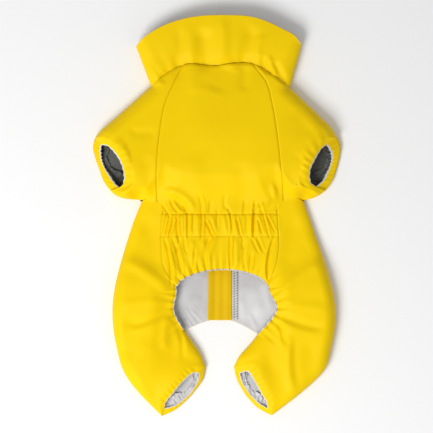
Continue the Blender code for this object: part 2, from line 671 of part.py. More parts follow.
def collar():
    shoulder = neck_keys(SLEEVE_STATIONS[SLEEVE_STATIONS <= SLEEVE_FOLD_U + NEAR], 0)
    front = NECK_SHARE + (1.0 - 2.0 * NECK_SHARE) * np.linspace(0.0, 1.0, 13)
    half_way = np.concatenate([shoulder[::-1], [0.012, 0.035], front])
    us = np.unique(np.round(np.concatenate([half_way, 1.0 - half_way]), 6))
    vs = np.linspace(0.0, 1.0, 7)
    seam, top = curve(NECK, 1, us), curve(COLLAR_TOP, 1, us)
    left = seam[0] * (1 - vs[:, None]) + top[0] * vs[:, None]
    right = seam[-1] * (1 - vs[:, None]) + top[-1] * vs[:, None]
    near = surface(eased_patch(seam, top, left, right, us, vs), near_upper)
    fold_z = edge_height(near[:, :, 0], near[:, :, 1])
    near[0, :, 2], near[-1, :, 2] = fold_z[0], fold_z[-1]
    near = pulled(near, "v0", gap=COLLAR_GAP)
    sheets = [(near, True)]
    for side in (0, 1):
        edge = MIDDLE_X + PANEL_EDGE * (1 if side else -1)
        fold = (left, right)[side]
        half = np.unique(np.append(np.round(clustered(12), 6), BACK_NECK_SHARE))
        low = straight(BACK_NECK, 1 + 2 * side, half)
        x = fold[-1, 0] + (edge - fold[-1, 0]) * half
        high_y = np.interp(x, top[:, 0], top[:, 1]) - TOP_BACK_DROP * np.sin(np.pi * half / 2)
        high = np.stack([x, high_y], axis=-1)
        inner = low[-1] * (1 - vs[:, None]) + high[-1] * vs[:, None]
        far = surface(eased_patch(low, high, fold, inner, half, vs), far_layer)
        far = pulled(far, "v0", gap=COLLAR_GAP)
        far[0] = near[0 if side == 0 else -1]
        sheets.append((far, False))
    return cloth("collar", sheets, YELLOW)


def strip(name, x_range, y_range, above, wall, look, columns=2, rows=24, split=None, up=False, lift=0.0):
    """Long flat strip along the zip, a given height above the back layer. split: edge x, and its way out."""
    xs = np.linspace(*x_range, columns + 1)
    ys = np.linspace(*y_range, rows + 1)
    x, y = np.meshgrid(xs, ys, indexing="ij")
    if split:
        away = SPLIT_HALF * ease((y - SPLIT_Y) / 6.0)
        x = np.where(np.isclose(x, split[0]), x + split[1] * away, x)
    z = far_layer(np.full_like(x, MIDDLE_X), y) + above
    if up:
        z += wall
    z += lift * (1.0 - ease((x - x_range[0]) / 10.0))
    return cloth(name, [(np.dstack([x, y, z]), up)], look, wall)


def slider(look):
    """Slider at the collar end: inner and outer plates on a neck, with a bail for the pull."""
    base = COLLAR_LIFT + CHAIN_Z - GAP
    top = COLLAR_LIFT + TAPE_Z + TAPE_THICK + GAP
    x0, x1 = MIDDLE_X - SLIDER_HALF, MIDDLE_X + SLIDER_HALF
    y0, y1 = SLIDER_Y
    body = box("zip_slider", (x0, y0, base - SLIDER_PLATE), (x1, y1, base), PARTS, look)
    neck_half, neck_y0, neck_y1 = SLIDER_NECK
    b0, b1 = BAIL_Y
    left, right = MIDDLE_X - BAIL_HALF, MIDDLE_X + BAIL_HALF
    bail_z = base - SLIDER_PLATE - BAIL_ROOM
    foot = bail_z - EMBED
    head = base - SLIDER_PLATE + EMBED
    blocks = (
        ((x0, y0, top), (x1, y1, top + SLIDER_PLATE)),
        ((MIDDLE_X - neck_half, neck_y0, base - EMBED), (MIDDLE_X + neck_half, neck_y1, top + EMBED)),
        ((left, b0, bail_z - BAIL_THICK), (right, b1, bail_z)),
        ((left, b0, foot), (right, b0 + BAIL_HALF, head)),
        ((left, b1 - BAIL_HALF, foot), (right, b1, head)),
    )
    for index, (low, high) in enumerate(blocks):
        boolean(body, box(f"slider_block_{index}", low, high, CUTTERS), "UNION")
    return bail_z + BAIL_ROOM / 2


def pull(look, z):
    """Flat tab on the bail, its eye's bar on the hinge axis."""
    y = PULL_AXIS_Y
    half = PULL_THICK / 2
    low = (MIDDLE_X - PULL_HALF, y - PULL_LENGTH, z - half)
    tab = box("zip_pull", low, (MIDDLE_X + PULL_HALF, y + half, z + half), PARTS, look)
    low = (MIDDLE_X - EYE_HALF, y - EYE_LENGTH, z - PULL_THICK)
    eye = box("pull_eye", low, (MIDDLE_X + EYE_HALF, y - half, z + PULL_THICK), CUTTERS)
    boolean(tab, eye, "DIFFERENCE")


for existing in list(bpy.data.objects):
    bpy.data.objects.remove(existing, do_unlink=True)
PARTS = bpy.data.collections.new("dog_raincoat")
CUTTERS = bpy.data.collections.new("cutters")
for made_collection in (PARTS, CUTTERS):
    bpy.context.scene.collection.children.link(made_collection)

YELLOW = material("yellow_cloth", (0.86, 0.62, 0.01), 0.5)
GUARD = material("guard_cloth", (0.78, 0.52, 0.01), 0.55)
TAPE = material("zip_tape", (0.80, 0.56, 0.02), 0.8)
CHAIN = material("zip_chain", (0.82, 0.60, 0.05), 0.4)
METAL = material("zip_metal", (0.55, 0.55, 0.56), 0.3, 1.0)

chest()
belly()
sleeve("sleeve_left", SLEEVE_LEFT, CUFF_LEFT, 0, SLEEVE_CUFF_Z)
sleeve("sleeve_right", SLEEVE_RIGHT, CUFF_RIGHT, 1, SLEEVE_CUFF_Z)
leg("leg_left", LEG_LEFT, HIND_CUFF_LEFT, LEG_CUFF_Z)
leg("leg_right", LEG_RIGHT, HIND_CUFF_RIGHT, LEG_CUFF_Z)
back("back_left", 0)
back("back_right", 1)
collar()
guard_y = (ZIP_LOW_Y - 0.4, GUARD_TOP_Y)
strip("zip_guard", GUARD_X, guard_y, GUARD_Z, WALL, GUARD, columns=6, up=True, lift=GUARD_FREE_LIFT)
tape_y = (ZIP_LOW_Y, ZIP_TOP_Y)
for way, tape_name in ((-1, "zip_tape_left"), (1, "zip_tape_right")):
    slit_x = MIDDLE_X + way * TAPE_SLIT
    tape_x = sorted((slit_x, MIDDLE_X + way * TAPE_HALF))
    strip(tape_name, tape_x, tape_y, TAPE_Z, TAPE_THICK, TAPE, rows=60, split=(slit_x, way))
chain_x = (MIDDLE_X - CHAIN_HALF, MIDDLE_X + CHAIN_HALF)
strip("zip_chain", chain_x, (ZIP_LOW_Y, CHAIN_TOP_Y), CHAIN_Z, CHAIN_THICK, CHAIN, rows=40)
pull(METAL, slider(METAL))
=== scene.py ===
"""Looks of the dog raincoat: it lies flat on its back, belly side up, its collar towards +Y.

Sizes are in millimetres in the garment's own plan. Placing a point moves it by CENTRE and turns it into
metres.
"""

import math

import bmesh
import bpy
import numpy as np
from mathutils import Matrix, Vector


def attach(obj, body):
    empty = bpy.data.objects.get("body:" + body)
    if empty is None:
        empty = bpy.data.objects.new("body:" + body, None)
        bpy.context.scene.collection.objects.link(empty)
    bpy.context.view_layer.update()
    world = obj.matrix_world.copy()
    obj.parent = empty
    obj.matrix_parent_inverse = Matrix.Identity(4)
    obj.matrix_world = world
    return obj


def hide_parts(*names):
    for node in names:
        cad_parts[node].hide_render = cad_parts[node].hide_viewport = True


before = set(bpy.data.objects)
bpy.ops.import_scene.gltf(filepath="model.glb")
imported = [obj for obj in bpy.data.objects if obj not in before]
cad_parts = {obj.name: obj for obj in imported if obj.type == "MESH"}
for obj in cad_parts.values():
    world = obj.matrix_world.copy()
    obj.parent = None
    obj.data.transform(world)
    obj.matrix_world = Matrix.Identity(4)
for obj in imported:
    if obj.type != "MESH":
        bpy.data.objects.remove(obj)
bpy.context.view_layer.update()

MM = 0.001
CENTRE = (0.136, -0.694)
MIDDLE_X = 4.0

# ---------------------------------------------------------------- sizes

CLOTH = 0.7
CLOTH_GRAIN = 0.00004  # metres
SEAM_GAP = 0.1
COLLAR_GAP = 0.5
FOLD_Z_UPPER = 7.0
FOLD_Z_COLLAR = 10.0
FOLD_Z_LOWER = 5.0
FOLD_CLIMB_Y = (150.0, 190.0)  # where the side folds climb from the body to the collar
ROLL_UPPER = 17.0
ROLL_LOWER = 14.0
ROLL_BACK = 8.0
WAIST_SLOPE = 50.0
SIDE_SLOPE = 18.0
SIDE_X = (64.0, 90.0)  # from the middle: where the waist's slope turns into the side's
WAIST_HALF = (97.0, 102.0)
WAIST_DROP = 11.0
WAIST_SEAT = 0.15
COLLAR_LIFT = 4.2
COLLAR_LIFT_Y = (156.0, 184.0)
PANEL_EDGE = 4.0
BELLY_TUCK = 0.9
BELLY_TUCK_Y = (0.5, 2.5)
ARCH_PITCH = 8.4
ARCH_SEED = 1.9
CHANNEL_Y = (2.0, -24.6)  # upper and lower stitching of the waist elastic
CHANNEL_STITCH = (2.0, 0.4, 0.3)

GUARD_X = (-10.5, 18.3)
ALLOWANCE_X = (18.6, 25.2)
GUARD_Z = 2.8
GUARD_TOP_Y = 160.0
GUARD_WALL = 0.9
ALLOWANCE_WALL = 0.4
TRIM_PITCH = 3.1
TAPE_HALF = 14.0
TAPE_Z = 1.5
TAPE_THICK = 0.8
ZIP_SLIT = 0.2  # from the middle to each tape
ZIP_LOW_Y = -125.6
ZIP_TOP_Y = 229.0
CHAIN_Z = 0.2
CHAIN_TOP_Y = 219.0
TOOTH_PITCH = 1.4
SLIDER_HALF = 4.0
SLIDER_Y = (216.0, 227.0)
BAIL_HALF = 0.9
BAIL_Y = (217.5, 225.5)
BAIL_BAR = 0.9
PULL_AXIS_Y = 221.0
PULL_HALF = 2.7
PULL_ARM = 1.1
PULL_LONG = 22.0

SLEEVE_FOLD_U = 0.30  # sewn to the body before it, folded from it on
SLEEVE_HUG = 2.5
NECK_SHARE = 0.24
BACK_NECK_SHARE = 0.4
BELLY_V = 0.44  # the leg is sewn to the belly before it
CROTCH_V = 0.76  # the leg is closed from it on
NEAR = 0.0001
UNDERLAP = 7.0
TOP_BACK_DROP = 4.0
SLEEVE_CUFF_Z = (33.0, 17.0, 27.5, 8.0, 3.5)  # crest, mouth's ends, near lip, far lip, outline
LEG_CUFF_Z = (19.5, 9.0, 15.5, 4.5, 2.6)

PLATEAU = (
    # y, height at the middle, height at the sides
    (240, 25, 20),
    (205, 25, 21),
    (180, 20, 20),
    (150, 25, 23),
    (100, 30, 28),
    (55, 30, 33),
    (25, 26, 26),
    (5, 22, 22),
)

PLATEAU_LOW = (
    # y, height at the belly, height at the leg
    (22, 14.4, 12.4),
    (0, 14.6, 12.6),
    (-25, 14.4, 13.6),
    (-50, 16.0, 17.0),
    (-85, 15.0, 23.0),
    (-140, 14.0, 22.0),
    (-185, 15.0, 20.0),
    (-245, 12.0, 15.0),
)

RAGLAN = (
    # v, left x, left y, right x, right y (belly side, neck to waist)
    (0.00, -41.0, 180.5, 43.0, 182.0),
    (0.12, -50.0, 162.0, 58.5, 162.0),
    (0.28, -61.5, 136.0, 66.0, 137.0),
    (0.50, -68.5, 98.0, 72.5, 98.0),
    (0.75, -72.0, 56.0, 77.0, 56.0),
    (1.00, -71.7, 12.9, 80.5, 16.0),
)

RAGLAN_BACK = (
    # v, left x, left y, right x, right y (back side, neck to waist)
    (0.00, -48.0, 166.0, 56.0, 166.0),
    (0.30, -62.0, 120.0, 70.0, 120.0),
    (0.60, -71.0, 72.0, 80.0, 72.0),
    (1.00, -80.0, 8.0, 90.0, 8.0),
)

BACK_NECK = (
    # u, left x, left y, right x, right y (back neck seam from the fold over the raglan to the zip)
    (0.0, -78.9, 155.4, 87.9, 153.2),
    (0.4, -48.0, 166.0, 56.0, 166.0),
    (1.0, 0.0, 169.0, 8.0, 169.0),
)

NECK = (
    # u, x, y (belly side neck seam from fold to fold)
    (0.00, -78.9, 155.4),
    (0.12, -59.7, 171.0),
    (0.24, -41.0, 180.5),
    (0.50, 0.0, 180.0),
    (0.63, 20.0, 183.0),
    (0.76, 43.0, 182.0),
    (0.88, 65.1, 169.8),
    (1.00, 87.9, 153.2),
)

COLLAR_TOP = (
    # u, x, y
    (0.00, -96.9, 203.0),
    (0.06, -89.0, 212.0),
    (0.15, -71.0, 224.0),
    (0.30, -42.0, 235.0),
    (0.55, 9.0, 240.0),
    (0.75, 50.0, 236.0),
    (0.88, 77.0, 224.5),
    (0.95, 94.0, 215.0),
    (1.00, 102.0, 205.0),
)

CHEST_LOW = (
    # u, x, y (lower edge of the chest, bloused over the waist)
    (0.00, -71.7, 12.9),
    (0.06, -64.5, 5.5),
    (0.25, -32.0, 2.4),
    (0.50, 4.0, 2.0),
    (0.75, 42.0, 2.4),
    (0.94, 72.0, 7.0),
    (1.00, 80.5, 16.0),
)

ARCH = (
    # u, x, y (hem of the lower belly)
    (0.00, -49.5, -86.0),
    (0.10, -42.5, -77.6),
    (0.25, -26.0, -69.8),
    (0.50, 4.0, -64.4),
    (0.75, 36.0, -68.2),
    (0.90, 54.5, -76.0),
    (1.00, 62.5, -85.5),
)

TAIL = (
    # u, x, y (hem of the back, from corner to corner)
    (0.00, -39.3, -138.6),
    (0.18, -23.7, -131.4),
    (0.35, -9.3, -126.8),
    (0.65, 18.3, -126.8),
    (0.82, 33.9, -133.8),
    (1.00, 49.5, -143.2),
)

SLEEVE_LEFT = (
    # u, upper x, upper y, lower x, lower y (from the raglan seam to the cuff)
    (0.00, -41.0, 180.5, -71.7, 12.9),
    (0.15, -59.7, 171.0, -82.0, 17.4),
    (0.30, -78.9, 155.4, -93.5, 18.8),
    (0.50, -100.0, 136.6, -105.0, 19.6),
    (0.75, -124.0, 115.3, -115.5, 21.6),
    (0.93, -142.0, 99.4, -124.0, 26.0),
    (1.00, -146.5, 93.0, -128.0, 30.0),
)

SLEEVE_RIGHT = (
    (0.00, 43.0, 182.0, 80.5, 16.0),
    (0.15, 65.1, 169.8, 93.5, 18.2),
    (0.30, 87.9, 153.2, 106.5, 18.9),
    (0.50, 106.0, 136.2, 112.0, 19.8),
    (0.75, 124.0, 119.0, 119.5, 22.6),
    (0.93, 139.0, 103.5, 127.0, 26.8),
    (1.00, 145.0, 93.5, 131.0, 30.0),
)

CUFF_LEFT = (
    # v, crest x, crest y, near lip x, y, far lip x, y, outline x, y
    (0.00, -146.5, 93.0, -138.0, 84.5, -138.0, 84.5, -146.5, 93.0),
    (0.15, -135.0, 94.0, -131.0, 83.0, -139.6, 78.0, -148.6, 84.0),
    (0.38, -113.0, 80.0, -119.5, 71.0, -138.0, 65.0, -146.4, 70.0),
    (0.62, -104.0, 60.0, -112.5, 55.0, -132.0, 52.0, -141.0, 55.0),
    (0.85, -106.0, 38.0, -112.0, 40.0, -121.5, 37.5, -135.0, 39.5),
    (1.00, -128.0, 30.0, -115.6, 33.0, -115.6, 33.0, -128.0, 30.0),
)

CUFF_RIGHT = (
    (0.00, 145.0, 93.5, 131.5, 84.5, 131.5, 84.5, 145.0, 93.5),
    (0.15, 131.0, 93.0, 126.0, 80.0, 137.0, 77.0, 148.6, 84.0),
    (0.38, 110.0, 75.0, 118.0, 67.0, 138.0, 66.0, 147.6, 70.0),
    (0.62, 103.0, 56.0, 112.0, 53.0, 133.6, 53.0, 143.8, 55.0),
    (0.85, 107.0, 36.0, 113.5, 39.0, 127.0, 41.0, 138.0, 40.0),
    (1.00, 131.0, 30.0, 119.0, 35.0, 119.0, 35.0, 131.0, 30.0),
)

LEG_LEFT = (
    # v, inner x, inner y, outer x, outer y, back seam x, back seam y (waist to cuff)
    (0.00, -64.5, 10.0, -89.8, 17.6, -80.0, 7.2),
    (0.10, -66.9, -14.0, -99.0, -5.0, -80.0, -14.0),
    (0.20, -67.0, -36.0, -106.5, -27.0, -79.0, -36.0),
    (0.30, -65.0, -58.0, -113.5, -50.0, -77.0, -60.0),
    (0.44, -49.5, -86.0, -122.2, -84.0, -73.0, -88.0),
    (0.60, -52.0, -114.0, -125.6, -120.0, -63.0, -115.0),
    (0.76, -39.3, -138.6, -120.0, -161.0, -39.3, -138.6),
    (0.84, -31.0, -150.0, -112.5, -187.0, -31.0, -150.0),
    (0.92, -20.6, -165.5, -95.0, -212.0, -20.6, -165.5),
    (1.00, -13.8, -182.0, -66.0, -241.4, -13.8, -182.0),
)

LEG_RIGHT = (
    (0.00, 72.0, 12.0, 103.8, 17.7, 90.0, 7.2),
    (0.10, 73.6, -14.0, 111.0, -2.0, 90.0, -14.0),
    (0.20, 74.6, -36.0, 118.5, -24.0, 90.0, -36.0),
    (0.30, 71.5, -57.0, 126.5, -46.0, 89.0, -60.0),
    (0.44, 62.5, -85.5, 137.0, -80.0, 86.0, -88.0),
    (0.60, 72.3, -113.5, 143.0, -116.0, 77.0, -118.0),
    (0.76, 49.5, -143.2, 138.0, -158.0, 49.5, -143.2),
    (0.84, 39.5, -155.5, 129.5, -186.0, 39.5, -155.5),
    (0.92, 27.0, -169.5, 102.0, -213.0, 27.0, -169.5),
    (1.00, 20.7, -182.0, 66.0, -240.6, 20.7, -182.0),
)

HIND_CUFF_LEFT = (
    # u, crest x, crest y, near lip x, y, far lip x, y, outline x, y (inner to outer)
    (0.00, -13.8, -182.0, -21.0, -191.0, -21.0, -191.0, -13.8, -182.0),
    (0.20, -34.0, -181.0, -27.5, -189.5, -23.0, -199.0, -16.6, -196.5),
    (0.45, -48.0, -193.5, -41.0, -200.5, -30.0, -211.5, -25.5, -210.0),
    (0.70, -60.0, -208.5, -53.0, -215.0, -41.0, -222.5, -38.5, -224.5),
    (0.88, -68.0, -222.0, -60.5, -224.5, -52.5, -229.5, -52.0, -235.0),
    (1.00, -66.0, -241.4, -63.0, -231.5, -63.0, -231.5, -66.0, -241.4),
)

HIND_CUFF_RIGHT = (
    (0.00, 20.7, -182.0, 28.2, -190.0, 28.2, -190.0, 20.7, -182.0),
    (0.20, 44.0, -178.0, 36.5, -188.0, 30.0, -199.0, 23.6, -195.0),
    (0.45, 54.5, -194.5, 45.5, -200.5, 35.6, -208.8, 30.2, -208.5),
    (0.70, 63.0, -211.5, 54.0, -215.5, 43.5, -218.8, 39.5, -221.5),
    (0.88, 68.0, -223.5, 59.5, -225.5, 52.0, -226.6, 51.5, -232.8),
    (1.00, 66.0, -240.6, 60.8, -231.5, 60.8, -231.5, 66.0, -240.6),
)

SOFT_FOLDS = (
    # start x, start y, end x, end y, bow, half width, height (a trough is negative), lean
    # collar
    (-52, 166, -46, 224, 2, 8.0, -2.4, 0.3),
    (-31, 180, -33, 226, 0, 9.0, 1.2, 0.0),
    (-13, 174, -16, 222, 0, 10.0, -4.2, 0.0),
    (7, 180, 8, 234, 0, 7.0, 2.0, 0.0),
    (25, 178, 41, 226, 3, 10.0, -3.8, 0.2),
    (50, 188, 54, 216, -3, 5.0, 1.6, 0.0),
    (54, 190, 62, 170, 0, 3.6, -2.0, 0.0),
    (61, 192, 72, 166, 0, 3.2, 1.6, 0.0),
    (69, 184, 81, 162, 0, 4.2, -2.8, 0.0),
    (-66, 160, -58, 176, 0, 4.5, -2.0, 0.0),
    # chest and sleeves
    (-4, 150, 10, 182, 3, 12.0, -2.2, 0.0),
    (-30, 178, -26, 146, 0, 9.0, 1.0, 0.0),
    (34, 178, 32, 150, 0, 6.0, -1.4, 0.0),
    (-104, 103, -74, 102, 2, 6.0, -1.3, 0.3),
    (-65, 30, -26, 6, -7, 5.0, 2.6, 0.0),
    (-58, 20, -36, 4, -4, 4.0, -1.6, 0.0),
    (50, 7, 68, 38, 8, 4.6, 3.0, 0.0),
    (55, 6, 66, 28, 5, 4.0, -2.0, 0.0),
    (-10, 20, -30, 70, -6, 15.0, 1.6, 0.0),
    (28, 10, 26, 62, 4, 12.0, -1.6, 0.0),
    (108, 70, 86, 40, 6, 12.0, -1.6, 0.0),
    (-84, 70, -80, 28, 0, 9.0, -1.6, 0.0),
    (96, 130, 112, 96, 0, 12.0, -1.4, 0.0),
    # legs
    (-114, -56, -58, -94, -5, 8.0, 3.0, -0.3),
    (-108, -36, -66, -74, -4, 13.0, -1.4, 0.0),
    (-88, -2, -74, -66, -4, 12.0, -2.0, 0.0),
    (-54, -112, -106, -134, -4, 6.0, -3.0, 0.5),
    (-60, -120, -64, -160, 2, 6.0, 2.4, -0.3),
    (-53, -120, -40, -172, -6, 4.0, -2.4, 0.5),
    (-100, -120, -112, -172, 0, 13.0, -2.0, 0.0),
    (-66, -100, -116, -104, 0, 8.0, 1.8, -0.3),
    (-84, -150, -98, -200, 0, 12.0, 1.6, 0.0),
    (130, -58, 74, -101, 5, 8.0, 3.0, 0.3),
    (120, -38, 80, -76, 4, 13.0, -1.4, 0.0),
    (98, -4, 84, -64, 4, 12.0, -2.0, 0.0),
    (74, -119, 126, -137, 4, 6.0, -3.0, -0.5),
    (72, -126, 82, -156, 0, 3.6, -2.6, -0.5),
    (90, -150, 95, -212, 3, 6.5, 2.6, 0.7),
    (110, -150, 114, -206, 0, 13.0, -2.0, 0.0),
    (82, -104, 132, -110, 0, 8.0, 1.8, 0.3),
    (62, -148, 50, -176, 0, 9.0, 1.6, 0.0),
)
GATHERS = (
    # start x, start y, end x, end y, bow, half width, height, lean (waist elastic and what fans out)
    (-64, 14, -55, -2, 0, 1.8, -2.6, 0.6),
    (-55, -1, -61, -25, 0, 1.4, -3.4, 0.8),
    (-50, -6, -56, -25, 0, 1.3, -2.8, 0.8),
    (-54, 20, -43, 3, 2, 2.0, -3.0, 0.8),
    (-46, 3, -45, -28, 1, 1.6, -3.8, 0.8),
    (-40, 12, -36, 0, 0, 1.6, -2.4, -0.5),
    (-36, 2, -36, -27, 0, 1.5, -3.6, -0.7),
    (-27, 2, -28, -18, 0, 1.4, -1.6, 0.4),
    (-20, 24, -17, 0, -2, 2.2, -2.4, 0.7),
    (-17, 4, -18, -28, -1, 1.5, -3.8, 0.8),
    (-12, -6, -3, -26, 0, 1.6, -3.8, 0.8),
    (-8, 18, -10, 2, 0, 2.2, -1.8, -0.5),
    (2, 8, 1, -14, 0, 1.5, -2.0, 0.5),
    (12, 10, 17, -22, -2, 1.5, -3.2, -0.7),
    (12, 26, 13, 6, 2, 2.2, -1.8, 0.5),
    (25, -3, 30, -25, 0, 1.5, -3.4, 0.7),
    (33, 18, 31, 0, 0, 2.0, -2.0, -0.6),
    (37, 2, 36, -20, 0, 1.4, -2.0, 0.4),
    (45, 16, 43, -27, 1, 1.8, -4.0, -0.8),
    (50, -3, 56, -22, 0, 1.4, -3.0, 0.7),
    (52, 16, 57, 0, 0, 1.7, -2.6, 0.7),
    (57, 1, 64, -26, 0, 1.4, -3.2, 0.7),
    (61, 1, 71, -20, 0, 1.3, -2.8, 0.7),
    (-58, 6, -64, -22, 0, 1.4, -2.0, 0.6),
    (-31, 4, -32, -24, 0, 3.0, 1.4, 0.0),
    (-23, 2, -23, -24, 0, 2.6, 1.4, 0.0),
    (-41, 2, -41, -24, 0, 2.2, 1.4, 0.0),
    (-6, 0, 0, -22, 0, 2.8, 1.4, 0.0),
    (8, 2, 12, -22, 0, 2.4, 1.4, 0.0),
    (20, 2, 24, -24, 0, 2.8, 1.4, 0.0),
    (40, 2, 40, -24, 0, 2.0, 1.4, 0.0),
    (50, 4, 49, -24, 0, 2.0, 1.4, 0.0),
    (-3, -24, -11, -60, 4, 4.6, -4.0, 0.8),
    (-15, -30, -15, -58, 0, 3.6, 2.2, 0.0),
    (-45, -26, -50, -44, 0, 1.8, -2.6, -0.6),
    (-52, -26, -41, -72, -2, 2.4, -3.2, 0.7),
    (-62, -26, -54, -82, -3, 2.0, -3.0, 0.6),
    (-37, -26, -34, -46, 2, 1.8, -1.8, 0.5),
    (-29, -30, -28, -54, 0, 3.4, 1.6, 0.0),
    (-25, -40, -27, -68, 0, 2.0, -2.2, 0.6),
    (18, -24, 18, -66, 1, 1.7, -3.4, 0.8),
    (24, -28, 24, -60, 0, 3.2, 1.8, 0.0),
    (31, -25, 30, -40, 0, 1.6, -1.8, -0.4),
    (36, -30, 35, -66, 2, 2.0, -1.8, 0.5),
    (43, -27, 51, -44, 0, 1.6, -2.6, 0.7),
    (50, -26, 57, -44, 0, 1.7, -2.8, 0.6),
    (43, -46, 40, -72, 0, 1.9, -2.8, 0.6),
    (68, -26, 61, -80, 4, 2.2, -3.4, -0.7),
    (62, -44, 55, -76, 2, 2.6, 1.8, 0.0),
    (-58, -40, -50, -76, -2, 2.4, 1.8, 0.0),
)
BACK_CREASES = (
    # start x, start y, end x, end y, bow, half width, height, lean (inside of the back, by the tail hem)
    (-37, -111, -22, -133, 0, 1.3, 1.3, 0.7),
    (-31, -112, -15, -129, 0, 1.2, 1.1, 0.7),
    (-41, -114, -28, -135, 0, 1.2, 1.0, 0.7),
    (-46, -116, -34, -136, 0, 1.4, 1.2, 0.6),
    (-26, -80, -18, -104, 5, 9.0, 0.9, 0.0),
    (33, -84, 50, -116, -6, 8.0, 1.0, 0.0),
    (40, -118, 50, -136, 0, 2.6, 1.0, 0.5),
    (30, -100, 34, -126, 0, 4.0, 0.7, 0.0),
    (60, -80, 64, -110, 0, 5.0, 1.0, 0.0),
)


# ---------------------------------------------------------------- finishes


class Wire:
    """A shader socket that does arithmetic through Math nodes."""

    def __init__(self, tree, socket):
        self.tree, self.socket = tree, socket

    def node(self, kind, settings=(), output=0, **sockets):
        made = self.tree.nodes.new(kind)
        for key, value in dict(settings).items():
            setattr(made, key, value)
        for key, value in sockets.items():
            name = key.replace("_", " ")
            target = made.inputs[int(name[1:])] if name[1:].isdigit() else made.inputs[name]
            if isinstance(value, Wire):
                self.tree.links.new(value.socket, target)
            else:
                target.default_value = value
        return Wire(self.tree, made.outputs[output])

    def math(self, operation, *values):
        sockets = {f"i{index}": value for index, value in enumerate(values)}
        return self.node("ShaderNodeMath", {"operation": operation}, **sockets)

    def __add__(self, other):
        return self.math("ADD", self, other)

    def __sub__(self, other):
        return self.math("SUBTRACT", self, other)

    def __rsub__(self, other):
        return self.math("SUBTRACT", other, self)

    def __mul__(self, other):
        return self.math("MULTIPLY", self, other)

    __radd__, __rmul__ = __add__, __mul__

    def mix(self, low, high):
        """From one colour to another by this value."""
        return self.node("ShaderNodeMix", {"data_type": "RGBA"}, 2, i0=self, i6=low, i7=high)


def finish(name, roughness, metallic=0.0, specular=0.5, sheen=0.0):
    """A new material: its shader, and a wire that carries the object's own coordinates."""
    made = bpy.data.materials.new(name)
    made.use_nodes = True
    tree = made.node_tree
    shader = tree.nodes["Principled BSDF"]
    shader.inputs["Roughness"].default_value = roughness
    shader.inputs["Metallic"].default_value = metallic
    shader.inputs["Specular IOR Level"].default_value = specular
    shader.inputs["Sheen Weight"].default_value = sheen
    place = Wire(tree, tree.nodes.new("ShaderNodeTexCoord").outputs["Object"])
    return made, shader, place


def link(shader, **inputs):
    for key, value in inputs.items():
        target = shader.inputs[key.replace("_", " ")]
        value.tree.links.new(value.socket, target)


def noise(place, scale, detail=2.0):
    return place.node("ShaderNodeTexNoise", {}, 0, Vector=place, Scale=scale, Detail=detail)


def bump(height, distance, strength=1.0):
    return height.node("ShaderNodeBump", {}, 0, Height=height, Distance=distance, Strength=strength)


def coated_cloth(name, light, dark, roughness, metallic=0.0):
    """Smooth coated cloth: a faint grain, soft unevenness and slightly varied colour."""
    made, shader, place = finish(name, roughness, metallic, specular=0.08)
    patchy = noise(place, 22.0, 3.0)
    soft = noise(place, 120.0, 3.0)
    share = (patchy - 0.5) * 2.2 + 0.5
    link(shader, Base_Color=share.mix((*dark, 1.0), (*light, 1.0)))
    height = soft * 0.8 + noise(place, 2600.0, 1.0) * 0.2
    link(shader, Normal=bump(height, CLOTH_GRAIN, 0.6))
    return made


def plain(name, color, roughness, metallic=0.0):
    made, shader, place = finish(name, roughness, metallic)
    fine = noise(place, 1500.0)
    shade = tuple(0.86 * part for part in color)
    varied = fine * 0.2 + (roughness - 0.1)
    link(shader, Base_Color=fine.mix((*shade, 1.0), (*color, 1.0)), Roughness=varied)
    return made


def woven_tape(name, color):
    """Zip tape: a fine twill in its colour and its height."""
    made, shader, place = finish(name, 0.75, sheen=0.15)
    bands = {"bands_direction": "DIAGONAL"}
    twill = place.node("ShaderNodeTexWave", bands, 1, Vector=place, Scale=260.0, Distortion=0.6)
    shade = tuple(0.7 * part for part in color)
    link(shader, Base_Color=twill.mix((*shade, 1.0), (*color, 1.0)), Normal=bump(twill, 0.00012, 0.7))
    return made


YELLOW = coated_cloth("yellow_cloth", (0.93, 0.635, 0.001), (0.90, 0.605, 0.001), 0.5)
SILVER = coated_cloth("silver_coating", (0.78, 0.765, 0.765), (0.52, 0.505, 0.505), 0.55)
# Painted shade: a dark grey for the sleeves' inside faces and turned-in cuff hems. The cloth is the same
# silver coating as inside the legs; the dark colour stands in for the shade deep inside the sleeves.
SLEEVE_PAINTED_SHADE = coated_cloth("sleeve_inside_painted_shade", (0.17, 0.17, 0.155), (0.10, 0.10, 0.09), 0.5, 0.1)
# Painted shade: the guard is the same yellow outer cloth as the coat. Its darker copy of that yellow stands
# in for the shade it lies in, under the belly inside the garment.
GUARD_PAINTED_SHADE = coated_cloth("guard_cloth", (0.82, 0.52, 0.004), (0.74, 0.46, 0.004), 0.5)
TAPE = woven_tape("zip_tape", (0.80, 0.53, 0.02))
CHAIN = plain("zip_coil", (0.82, 0.55, 0.03), 0.4)
THREAD = plain("yellow_thread", (0.72, 0.46, 0.01), 0.7)
OVERLOCK = plain("overlock_thread", (0.10, 0.095, 0.085), 0.8)
METAL = plain("zip_metal", (0.52, 0.52, 0.53), 0.32, 1.0)


# ---------------------------------------------------------------- curves and heights


def ease(t):
    t = np.clip(t, 0.0, 1.0)
    return t * t * (3.0 - 2.0 * t)


def curve(table, column, keys):
    """x and y of two neighbouring columns of a table, smoothed between its rows."""
    rows = np.array(table, float)
    key = rows[:, 0]
    keys = np.asarray(keys, float)
    at = np.clip(np.searchsorted(key, keys, side="right") - 1, 0, len(key) - 2)
    span = key[at + 1] - key[at]
    t = (keys - key[at]) / span
    found = []
    for values in (rows[:, column], rows[:, column + 1]):
        slope = np.gradient(values, key)
        found.append(
            (2 * t**3 - 3 * t**2 + 1) * values[at]
            + (t**3 - 2 * t**2 + t) * slope[at] * span
            + (3 * t**2 - 2 * t**3) * values[at + 1]
            + (t**3 - t**2) * slope[at + 1] * span
        )
    return np.stack(found, axis=-1)


def straight(table, column, keys):
    rows = np.array(table, float)
    return np.stack([np.interp(keys, rows[:, 0], rows[:, at]) for at in (column, column + 1)], axis=-1)


